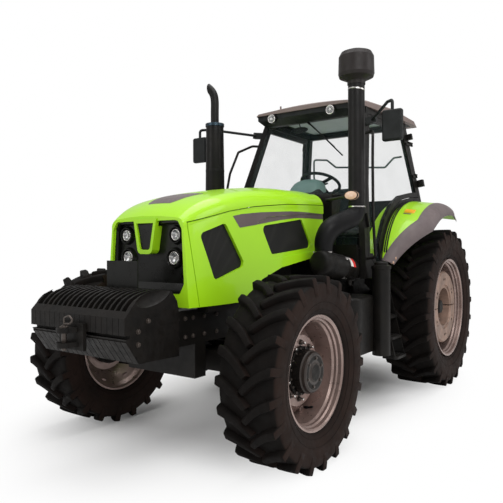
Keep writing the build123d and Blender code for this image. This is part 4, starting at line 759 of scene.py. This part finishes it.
def lamp(name, spot, r, d, body):
    """Lamp of radius r and depth d facing ahead: bright bezel, dished reflector, bulb and clear lens."""
    dish, lens = r - 0.0075, r - 0.005
    bezel = [(0.0, r - 0.0005), (d * 0.8, r), (d * 0.93, r - 0.002), (d * 0.95, r - 0.004),
             (d * 0.92, r - 0.006), (d * 0.80, dish)]
    bowl = [(d * (0.12 + 0.68 * (k / 10) ** 1.7), dish * k / 10 + 0.0005) for k in range(11)]
    bowl.insert(0, (d * 0.12, 0.0))
    bulb = [(d * 0.12, r * 0.20), (d * 0.30, r * 0.21), (d * 0.5, r * 0.15), (d * 0.58, r * 0.06),
            (d * 0.59, 0.0)]
    cover = [(d * 0.86, lens), (d * 0.93, lens * 0.8), (d * 0.98, lens * 0.4), (d, 0.0)]
    for part, outline, steps, finish, smooth in (
            ("bezel", bezel, 48, "bright_steel", 50.0), ("reflector", bowl, 24, "chrome", 18.0),
            ("bulb", bulb, 20, "patch_white", 60.0), ("lens", cover, 40, "lamp_clear", 60.0)):
        Form().lathe_at(spot, (0, -1, 0), outline, steps).make(
            f"{name}_{part}", "lamp_clear", finish, smooth, body)


def ovals(centre, wide, high, outline, steps):
    """Rows of upright ovals: for each, its distance behind centre and its share of the half sizes."""
    return [[(centre[0] + wide * size * math.cos(TAU * k / steps), centre[1] + away,
              centre[2] + high * size * math.sin(TAU * k / steps)) for k in range(steps)]
            for away, size in outline]


def lamps():
    """Head lamps, roof lamps, side signals, tail and work lamp lenses."""
    for tag, x, z, radius in (("upper", 0.242, 1.553, 0.040), ("lower", 0.227, 1.393, 0.046)):
        for side, word in SIDES:
            lamp(f"head_lamp_{tag}_{word}", (side * x, -1.6803, z), radius, 0.0197, "bonnet")
    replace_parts(bpy.data.objects["head_lamp_upper_left_reflector"], "head_lamps")
    shell = [(-0.0225, 0.0), (-0.0225, 0.72), (-0.021, 0.86), (-0.016, 0.96), (-0.008, 1.0), (0.008, 1.0),
             (0.016, 0.96), (0.021, 0.86), (0.0225, 0.72), (0.0225, 0.0)]
    band = [(-0.0035, 1.01), (-0.003, 1.045), (0.003, 1.045), (0.0035, 1.01)]
    for side, word in SIDES:
        lamp(f"roof_lamp_{word}", (side * 0.338, 0.4162, 2.795), 0.0445, 0.012, "tractor")
        for part, outline, slot, finish, smooth in (("lens", shell, "lamp_clear", "lens_amber", 50.0),
                                                    ("band", band, "trim_dark", "rubber_black", 35.0)):
            rows = ovals((side * 0.905, -0.315, 1.880), 0.0628, 0.0388, outline, 40)
            Form().grid(rows, close_columns=True).make(f"signal_{part}_{word}", slot, finish, smooth)
        for tag, low, high, finish in (("tail", (0.728, 1.8225, 2.134), (0.786, 1.8335, 2.190), "lens_red"),
                                       ("work", (0.652, 1.709, 2.657), (0.694, 1.7195, 2.705), "chrome")):
            Form().box(on_side(side, low), on_side(side, high), 0.004).make(
                f"{tag}_lens_{word}", "lamp_clear", finish)


# ---------------------------------------------------------------- side gear
def clamp(form, centre, axis, radius, turn):
    """Worm clamp round a hose: a thin band and its screw housing."""
    axis, side, _ = square_to(axis)
    h = 0.0065
    form.lathe_at(centre, axis, [(-h, radius), (-h + 0.001, radius + 0.0016), (h - 0.001, radius + 0.0016),
                                 (h, radius), (h * 0.4, radius + 0.0004), (-h * 0.4, radius + 0.0004),
                                 (-h, radius)], 40)
    ray = Matrix.Rotation(turn, 3, axis) @ side
    across = axis.cross(ray)
    seat = Vector(centre) + ray * (radius + 0.006)
    form.tube([seat - across * 0.016, seat + across * 0.016], 0.0065, 10)
    form.nut(seat + across * 0.016, across, 0.0065, 0.007)


# The air cleaner's canister: its ends, radius and directions
CAN_FRONT, CAN_RADIUS = Vector((0.596, -0.320, 1.336)), 0.112
CAN_RUN = Vector((0.660, 0.192, 1.243)) - CAN_FRONT
CAN_AXIS = CAN_RUN.normalized()
CAN_OUT = (Vector((1, 0, 0)) - CAN_AXIS * CAN_AXIS.x).normalized()
CAN_UP = CAN_OUT.cross(CAN_AXIS)


def on_canister(t, angle, lift=0.0008):
    """Point over the canister at share t of its length, at an angle up from straight outwards."""
    out, up = polar(1.0, angle)
    return CAN_FRONT + CAN_RUN * t + (CAN_OUT * out + CAN_UP * up) * (CAN_RADIUS + lift)


def air_cleaner():
    """Hose clamps, and the canister with its elbow, two blank patches, ribs and latches."""
    band = Form()
    clamp(band, (0.594, -0.212, 1.418), (0, 0, 1), 0.0765, 2.6)
    clamp(band, (0.780, 0.050, 1.812), (0, 0, 1), 0.0765, 0.8)
    clamp(band, (0.780, 0.050, 2.835), (0.1, 0.1, 1), 0.0722, 0.5)
    band.make("hose_clamps", "cast_black", "bright_steel")
    shell = [(-0.001, 0.0), (0.0, 0.070), (0.006, 0.086), (0.018, 0.101), (0.036, 0.110), (0.055, 0.112),
             (0.30, 0.112), (0.303, 0.1145), (0.323, 0.1145), (0.326, 0.112), (0.450, 0.112), (0.480, 0.110),
             (0.500, 0.102), (0.514, 0.088), (0.522, 0.064), (0.5235, 0.055), (0.5235, 0.0)]
    cleaner = Form().lathe_at(CAN_FRONT, CAN_AXIS, shell, 72)
    cleaner.box((0.600, 0.110, 1.190), (0.680, 0.1897, 1.240), 0.008)
    down = Vector((0.35, -0.25, -1)).normalized()
    outlet = [(0, 0.03), (0.012, 0.03), (0.02, 0.024), (0.045, 0.019), (0.055, 0.023), (0.058, 0.02),
              (0.058, 0)]
    cleaner.lathe_at(CAN_FRONT + CAN_RUN * 0.86 + down * 0.10, down, outlet, 24)
    made = cleaner.make("air_cleaner_shell", "cast_black", None, 40.0)
    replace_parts(made, "air_cleaner")
    route = smooth_path([(0.594, -0.212, 1.385), (0.594, -0.212, 1.44), (0.598, -0.205, 1.52),
                         (0.628, -0.165, 1.61), (0.690, -0.072, 1.675), (0.752, 0.012, 1.715),
                         (0.778, 0.047, 1.775), (0.780, 0.050, 1.834)], 8)
    swell = []
    for index in range(len(route)):
        share = min(max((index / (len(route) - 1) - 0.08) / 0.84, 0.0), 1.0)
        swell.append(0.074 + 0.016 * math.sin(math.pi * share) ** 1.5)
    Form().tube(route, swell, 40).make("intake_elbow", "cast_black", "rubber_black", 50.0)
    for name, first, last in (("white", 0.66, 0.735), ("red", 0.735, 0.81)):
        rows = [[on_canister(first + (last - first) * k / 6, angle) for k in range(7)]
                for angle in range(8, 57, 4)]
        Form().grid(rows).make(f"canister_patch_{name}", "cast_black", f"patch_{name}", 60.0)
    ribs, latch = Form(), Form()
    for t in (0.16, 0.20, 0.24, 0.60, 0.63):
        ribs.lathe_at(CAN_FRONT + CAN_RUN * t, CAN_AXIS,
                      [(-0.004, 0.1115), (-0.003, 0.1135), (0.003, 0.1135), (0.004, 0.1115)], 56)
    ribs.make("canister_ribs", "cast_black")
    for angle in (38, 128, -52):
        middle = on_canister(0.60, angle, 0.006)
        across = CAN_AXIS.cross((middle - (CAN_FRONT + CAN_RUN * 0.60)).normalized())
        loop = [middle + CAN_AXIS * a + across * s for a, s in
                ((-0.03, -0.011), (-0.03, 0.011), (0.03, 0.008), (0.03, -0.008), (-0.03, -0.011))]
        latch.tube(rounded_route(loop, 0.006), 0.0022, 8)
        latch.tube([middle - CAN_AXIS * 0.012 + across * s for s in (-0.014, 0.014)], 0.005, 8)
    latch.make("canister_latches", "cast_black", "bright_steel")


def exhaust():
    """Shrouded exhaust with its feed pipe, outward curved tip, cut upright, and collar."""
    x, y, pipe_z = -0.790, 0.030, 1.285
    shroud = [(1.760, 0.0), (1.760, 0.088), (1.764, 0.092), (1.790, 0.102), (2.700, 0.090), (2.704, 0.0955),
              (2.734, 0.0955), (2.734, 0.060), (2.722, 0.044)]
    pipe = [(-0.2143, -0.190, pipe_z), (-0.60, -0.190, pipe_z), (x, y, pipe_z), (x, y, 1.775)]
    stack = Form().lathe(shroud, (x, y, 0), "Z", 64).tube(rounded_route(pipe, 0.07, 10), 0.048, 28)
    for z in (1.80, 2.25, 2.66):
        r = 0.102 - (z - 1.79) * 0.012 / 0.91
        hoop = [(z - 0.012, r), (z - 0.011, r + 0.0015), (z + 0.011, r + 0.0013), (z + 0.012, r - 0.0003)]
        stack.lathe(hoop, (x, y, 0), "Z", 64)
    made = stack.make("exhaust_shroud", "paint_black", None, 40.0)
    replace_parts(made, "exhaust_stack")

    curve = ((0, 2.70), (0, 2.85), (0, 2.97), (0.018, 3.045), (0.065, 3.105), (0.13, 3.150), (0.20, 3.185))
    tip = Form().tube(smooth_path([(x - out, y, z) for out, z in curve], 8), 0.042, 36, caps=False)
    shape = bmesh.new()
    verts = [shape.verts.new(v) for v in tip.verts]
    for face in tip.faces:
        shape.faces.new([verts[i] for i in face])
    bmesh.ops.bisect_plane(shape, geom=shape.verts[:] + shape.edges[:] + shape.faces[:],
                           plane_co=(x - 0.072, 0, 0), plane_no=(-1, 0, 0), clear_outer=True)

    def mouth():
        """Open edges at the cut."""
        return [e for e in shape.edges if e.is_boundary and min(v.co.z for v in e.verts) > 2.9]

    for scale, push in ((0.88, 0.0), (0.86, 0.05)):
        grown = bmesh.ops.extrude_edge_only(shape, edges=mouth())["geom"]
        points = [v for v in grown if isinstance(v, bmesh.types.BMVert)]
        middle = sum((v.co for v in points), Vector()) / len(points)
        for v in points:
            v.co = middle + (v.co - middle) * scale + Vector((push, 0, -push * 0.7))
    bmesh.ops.contextual_create(shape, geom=mouth())
    Form().take(shape).make("exhaust_tip", "paint_black", None, 50.0)
    Form().lathe([(2.7035, 0.0958), (2.7040, 0.0972), (2.7330, 0.0972), (2.7348, 0.095), (2.7348, 0.062)],
                 (x, y, 0), "Z", 56).make("exhaust_collar", "paint_black", "collar_blue")


def grips_and_bolts():
    """Raised rings on the steps, and bolts of the front frame and the weight pack."""
    grips, bolts = Form(), Form()
    for side, _ in SIDES:
        for x, z in ((0.872, 0.824), (0.914, 0.639), (0.955, 0.464)):
            for row in range(3):
                for k in range(9):
                    spot = (side * (x - 0.045 + row * 0.04), 0.405 + k * 0.026 - 0.012, z)
                    grips.lathe_at(spot, (0, 0, 1), [(-0.001, 0.0085), (0.004, 0.007), (0.004, 0.004),
                                                     (0.001, 0.003)], 12)
        for y, z in ((-2.166, 1.030), (-2.247, 0.975), (-2.248, 0.899)):
            bolts.bolt((side * 0.450, y, z), (side, 0, 0), 0.017, 0.003, 0.012, 0.0135, 0.014)
        for y in (-1.78, -1.70, -1.62, -1.50, -1.36):
            for z in (0.86, 0.985):
                bolts.bolt((side * 0.330, y, z), (side, 0, 0), 0.017, 0.003, 0.012, 0.013, 0.012)
    grips.make("step_grips", "cast_black")
    bolts.make("frame_bolts", "cast_black", "bolt_steel")


def tow_pin():
    """Tow pin through the clevis with a looped grip."""
    def at(x, z):
        return Vector((x, -2.427, z))

    pin = Form().tube([at(0, z) for z in (0.845, 0.852, 1.0)], [0.011, 0.0155, 0.0155], 20)
    pin.lathe_at(at(0, 0.9855), (0, 0, 1), [(0, 0.027), (0.006, 0.027), (0.009, 0.024), (0.009, 0.0)])
    grip = ((0, 1.0), (0, 1.045), (0.05, 1.06), (0.085, 1.035), (0.05, 1.01), (0.006, 1.008))
    pin.tube(rounded_route([at(x, z) for x, z in grip], 0.018), 0.006, 10)
    pin.make("tow_pin", "cast_black", "bolt_steel")


def weight_ribs():
    """Faces of the stacked plates under the slot of the weight pack."""
    form, out = Form(), Vector((0, -0.0049, -0.0035))
    top, foot = Vector((0, -2.3352, 0.9262)), Vector((0, -2.2350, 0.7858))
    for k in range(18):
        x = -0.45 + 0.05 * k
        left, right = Vector((x + 0.0022, 0, 0)), Vector((x + 0.0478, 0, 0))
        form.prism([top + left, top + right, foot + right, foot + left], out)
    form.make("weight_ribs", "cast_black")


# ---------------------------------------------------------------- fenders
FENDER_RADIUS = 1.130


def fender_point(x, angle, lift=0.0):
    """Point over the fender's top at an angle from straight back."""
    drop = 0.034 * max(x - 0.8, 0.0) / 0.25
    y, z = polar(FENDER_RADIUS + lift, angle)
    return Vector((x, REAR_AXLE.y + y, REAR_AXLE.z - drop + z))


def fender_edge(angle):
    """Row x of the fender's slanted outer edge at an angle from straight back."""
    y = REAR_AXLE.y + polar(FENDER_RADIUS, angle)[0]
    cut = [(0.470, 0.540), (0.560, 0.830), (0.930, 1.050)]
    for (y0, x0), (y1, x1) in zip(cut, cut[1:]):
        if y <= y1:
            return x0 + (x1 - x0) * (y - y0) / (y1 - y0)
    return cut[-1][1]


def smooth_step(t):
    """Soft ramp from 0 to 1."""
    t = min(max(t, 0.0), 1.0)
    return t * t * (3.0 - 2.0 * t)


def fender_flares():
    """Grey lips from the feet of the fenders along their outer edges over the tyres, and reflectors."""
    # distance out from the fender's edge and down from its top; points no farther out than fixed don't grow
    shape = [(-0.030, -0.0030), (-0.012, -0.0045), (0.010, -0.0010), (0.035, 0.008), (0.062, 0.024),
             (0.085, 0.046), (0.100, 0.076), (0.106, 0.110), (0.103, 0.116), (0.098, 0.112), (0.092, 0.080),
             (0.076, 0.054), (0.054, 0.036), (0.030, 0.024), (0.001, 0.0185), (0.001, -0.0008),
             (-0.030, -0.0008)]
    fixed = 0.005
    form, reflectors = Form(), Form()
    for side, _ in SIDES:
        rows = []
        for k in range(121):
            angle = 153.0 - 91.0 * k / 120
            grow = 0.62 + 0.38 * math.sin(math.pi / 2 * min(k / 50, 1.0))
            tail = 1.0 - 0.78 * smooth_step((k - 88) / 32)
            row = []
            for out, fall in shape:
                wide, deep = (grow * tail, grow * (0.3 + 0.7 * tail)) if out > fixed else (1.0, 1.0)
                row.append(on_side(side, fender_point(fender_edge(angle) + out * wide, angle, -fall * deep)))
            rows.append(row)
        form.grid(rows, close_columns=True).face(rows[0]).face(rows[-1])
        for angle in (152.2, 149.6):
            p = fender_point(fender_edge(angle) + 0.052, angle, -0.048)
            reflectors.box(on_side(side, p - Vector((0.014, 0.011, 0.012))),
                           on_side(side, p + Vector((0.014, 0.006, 0.012))), 0.002)
    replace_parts(form.make("fender_lips", "flare_grey", None, 50.0), "fender_flares")
    reflectors.make("lip_reflectors", "lamp_clear", "lens_amber")


def fender_trim(side, word):
    """Rubber seals between cab and fender, the side marker and the line beside it."""
    seal = Form()
    for shift in (0.014, 0.034):
        path = []
        for k in range(49):
            angle = 148.5 - (148.5 - 66) * k / 48
            y, z = polar(FENDER_RADIUS, angle)
            # the cab's side slants in towards the front and the roof
            cab_x = 0.946 + 0.0318 * (REAR_AXLE.y + y - CAB_DATUM) - 0.149 * (REAR_AXLE.z + z)
            path.append(on_side(side, fender_point(cab_x + shift, angle, 0.003)))
        seal.tube(path, 0.007, 8)
    seal.make(f"fender_seal_{word}", "rubber_black")
    rows = []
    for i, angle in enumerate((118.6, 118.4, 116.8, 115.2, 115.0)):
        row = []
        for j, x in enumerate((0.846, 0.850, 0.898, 0.946, 0.950)):
            p = fender_point(x, angle)
            away = (p - Vector((p.x, REAR_AXLE.y, REAR_AXLE.z))).normalized()
            row.append(on_side(side, p + away * (0.0 if i in (0, 4) or j in (0, 4) else 0.009)))
        rows.append(row)
    Form().grid(rows).make(f"side_marker_{word}", "lamp_clear", "marker_orange", 60.0)
    rows = [[on_side(side, fender_point(x, angle, 0.0012)) for x in (0.850, 0.875, 0.90, 0.925)]
            for angle in (120.15, 119.6, 119.05)]
    Form().grid(rows).make(f"marker_line_{word}", "flare_grey", "stripe_grey", 60.0)


# ---------------------------------------------------------------- cab
def wiper():
    """Wiper spindle, arm and blade on the slanted windscreen."""
    foot_y, foot_z, slope = 1.655, 2.070, (1.945 - 1.655) / (2.840 - 2.070)

    def on_screen(x, z, out):
        y = CAB_DATUM + (foot_y + slope * (z - foot_z)) + 0.012
        return Vector((x, y, z)) + Vector((0, -1, slope)).normalized() * out

    form = Form().tube([on_screen(-0.02, 2.742, 0.0), on_screen(-0.02, 2.742, 0.03)], 0.013, 12)
    arm = [on_screen(-0.02, 2.742, 0.024), on_screen(0.10, 2.640, 0.03), on_screen(0.26, 2.503, 0.024),
           on_screen(0.33, 2.443, 0.018)]
    form.tube(smooth_path(arm, 5), [0.0085] * 5 + [0.007] * 11, 10)
    blade = [on_screen(x, z, 0.0085) for x, z in ((0.16, 2.590), (0.30, 2.465), (0.43, 2.350))]
    form.tube(smooth_path(blade, 5), 0.007, 8).make("wiper", "rubber_black")


def mirror_glass(side, word):
    """Mirror glass, a rectangle with rounded corners."""
    def rounded(value):
        return math.copysign(abs(value) ** 0.4, value)

    glass = []
    for turn in (TAU * k / 32 for k in range(32)):
        x, z = 1.075 + 0.074 * rounded(math.cos(turn)), 2.505 + 0.118 * rounded(math.sin(turn))
        glass.append(on_side(side, (x, 0.1655, z)))
    Form().prism(glass, (0, 0.002, 0)).make(f"mirror_glass_{word}", "paint_black", "mirror_glass")


def cab_inside():
    """Cluster hood, mirror, rear rail, headliner, levers, stalks and console top."""
    rows = []
    # row y, height of the foot and of the top, half width
    for y, low, high, half in ((0.436, 1.985, 1.992, 0.10), (0.440, 1.985, 2.010, 0.135),
                               (0.462, 1.985, 2.060, 0.160), (0.492, 1.985, 2.110, 0.172),
                               (0.530, 2.000, 2.140, 0.176), (0.575, 2.010, 2.155, 0.176),
                               (0.625, 2.015, 2.158, 0.172), (0.655, 2.025, 2.150, 0.166),
                               (0.660, 2.030, 2.140, 0.158), (0.645, 2.028, 2.125, 0.150),
                               (0.60, 2.028, 2.110, 0.140)):
        row = []
        for turn in (math.pi * k / 24 for k in range(25)):
            x = half * math.copysign(abs(math.cos(turn)) ** 0.75, math.cos(turn))
            row.append((x, y, low + (high - low) * abs(math.sin(turn)) ** 0.7))
        rows.append(row)
    Form().grid(rows).make("cluster_hood", "trim_dark", "hood_teal", 50.0)
    mirror = Form().tube([(-0.17, 0.70, 2.7695), (-0.17, 0.715, 2.735)], 0.006, 10)
    outline = [(0.700, 0.0), (0.700, 0.9), (0.704, 1.0), (0.716, 1.0), (0.720, 0.94), (0.720, 0.0)]
    mirror.grid(ovals((-0.17, 0.0, 2.705), 0.095, 0.032, outline, 36), close_columns=True)
    mirror.make("cab_mirror", "trim_dark")
    rail_y = 1.66
    rail = [(-0.56, 1.765, 2.285), (-0.522, rail_y, 2.30), (-0.522, rail_y, 2.532), (-0.343, rail_y, 2.512),
            (-0.222, rail_y, 2.414), (0.396, rail_y, 2.362), (0.50, rail_y, 2.462), (0.56, 1.735, 2.478)]
    Form().tube(rounded_route(rail, 0.035), 0.011, 12).make("rear_rail", "trim_dark", "console_grey")
    liner = [(x, y, 2.8350) for x, y in ((-0.47, 0.725), (0.47, 0.725), (0.50, 1.62), (-0.50, 1.62))]
    Form().prism(liner, (0, 0, 0.0064)).make("headliner", "trim_dark", "liner_grey")
    lever, stalks = Form(), Form()
    knob = [(0, 0.008), (0.006, 0.018), (0.024, 0.023), (0.038, 0.017), (0.044, 0.006), (0.045, 0)]
    for x, y, height in ((-0.36, 1.13, 0.13), (-0.40, 1.24, 0.10), (-0.44, 1.33, 0.10)):
        foot = Vector((x, y, 1.855 + 0.04 * (y - 1.09) / 0.54))
        path = [foot, foot + Vector((0.0, -0.01, height * 0.5)), foot + Vector((0.005, -0.03, height))]
        lever.tube(smooth_path(path, 4), 0.007, 10)
        lever.lathe_at(foot + Vector((0.005, -0.03, height - 0.004)), (0.02, -0.1, 1), knob, 18)
    lever.make("hand_levers", "trim_dark")
    for side, _ in SIDES:
        path = [on_side(side, p) for p in ((0.03, 0.60, 2.045), (0.10, 0.66, 2.085), (0.17, 0.69, 2.115))]
        stalks.tube(smooth_path(path, 4), [0.007] * 6 + [0.009] * 3, 10)
    stalks.make("column_stalks", "trim_dark")
    top = Form().box((0, 0, 0), (0.18, 0.52, 0.022), 0.009)
    rise = Matrix.Rotation(math.atan2(0.04, 0.54), 4, "X")
    top.verts = [Matrix.Translation((-0.515, 1.10, 1.8625)) @ (rise @ v) for v in top.verts]
    top.make("console_top", "trim_dark", "console_grey")


def cushion(name, low, high, crown, cap):
    """Padded seat piece: rounded block, cloth pressed out by at most cap, shaped by crown, then smoothed."""
    low, high = Vector(low), Vector(high)
    margin = Vector((0.012, 0.012, 0.012))
    shape = block(high - low - margin * 2, (high + low) / 2, 0.03, 4)
    mesh = bpy.data.meshes.new(name)
    shape.to_mesh(mesh)
    shape.free()
    made = place_mesh(name, mesh)
    remesh = made.modifiers.new("remesh", "REMESH")
    remesh.mode, remesh.voxel_size = "VOXEL", 0.006
    bpy.context.view_layer.objects.active = made
    made.select_set(True)
    bpy.ops.object.modifier_apply(modifier="remesh")
    start = [v.co.copy() for v in made.data.vertices]
    cloth = made.modifiers.new("cloth", "CLOTH")
    cloth.settings.use_pressure = True
    cloth.settings.uniform_pressure_force = 4.0
    cloth.settings.effector_weights.gravity = 0.0
    for number in range(1, 21):
        bpy.context.scene.frame_set(number)
    shown = made.evaluated_get(bpy.context.evaluated_depsgraph_get()).to_mesh()
    moved = [v.co.copy() for v in shown.vertices]
    made.modifiers.remove(cloth)
    bpy.context.scene.frame_set(1)
    for vert, a, b in zip(made.data.vertices, start, moved):
        step = b - a
        vert.co = a + (step.normalized() * min(step.length, cap) if step.length else step)
    for vert in made.data.vertices:
        vert.co = crown(vert.co)
        for axis in range(3):
            vert.co[axis] = min(max(vert.co[axis], low[axis] + 0.0005), high[axis] - 0.0005)
    smooth = made.modifiers.new("smooth", "SMOOTH")
    smooth.factor, smooth.iterations = 0.5, 4
    bpy.ops.object.modifier_apply(modifier="smooth")
    made.select_set(False)
    made.data.shade_smooth()
    paint(made, "seat_cloth")
    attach(made, "tractor")
    return made


def seat():
    """Seat and back cushions, hollowed in the middle, with sewn channels."""
    def base_form(p):
        t = abs(p.x) / 0.24
        channel = 0.006 * math.exp(-((t - 0.60) / 0.035) ** 2)
        rib = 0.003 * math.cos(p.y * TAU / 0.11) * (t < 0.58)
        drop = 0.014 * (1 - t ** 2) + channel - rib
        return Vector((p.x, p.y, p.z - drop if p.z > 1.66 else p.z))

    def back_form(p):
        t = abs(p.x) / 0.23
        pull = 0.022 * (1 - t ** 2) + 0.007 * math.exp(-((t - 0.62) / 0.035) ** 2)
        narrow = 1.0 - 0.16 * max(0.0, (p.z - 1.95) / 0.21) ** 2
        return Vector((p.x * narrow, p.y + (pull if p.y < 1.51 else 0.0), p.z))

    made = cushion("seat_cushion", (-0.24, 0.965, 1.5904), (0.24, 1.39, 1.70), base_form, 0.016)
    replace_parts(made, "seat_cushions")
    cushion("seat_back", (-0.23, 1.4704, 1.62), (0.23, 1.57, 2.16), back_form, 0.016)


for side, word in SIDES:
    tyre("front", side, word)
    tyre("rear", side, word)
    wheel_fittings(side, word)
    front_hub(side, word)
    rear_weight(side, word)
bonnet_trim()
lamps()
air_cleaner()
exhaust()
grips_and_bolts()
tow_pin()
weight_ribs()
fender_flares()
wiper()
for side, word in SIDES:
    fender_trim(side, word)
    mirror_glass(side, word)
cab_inside()
seat()
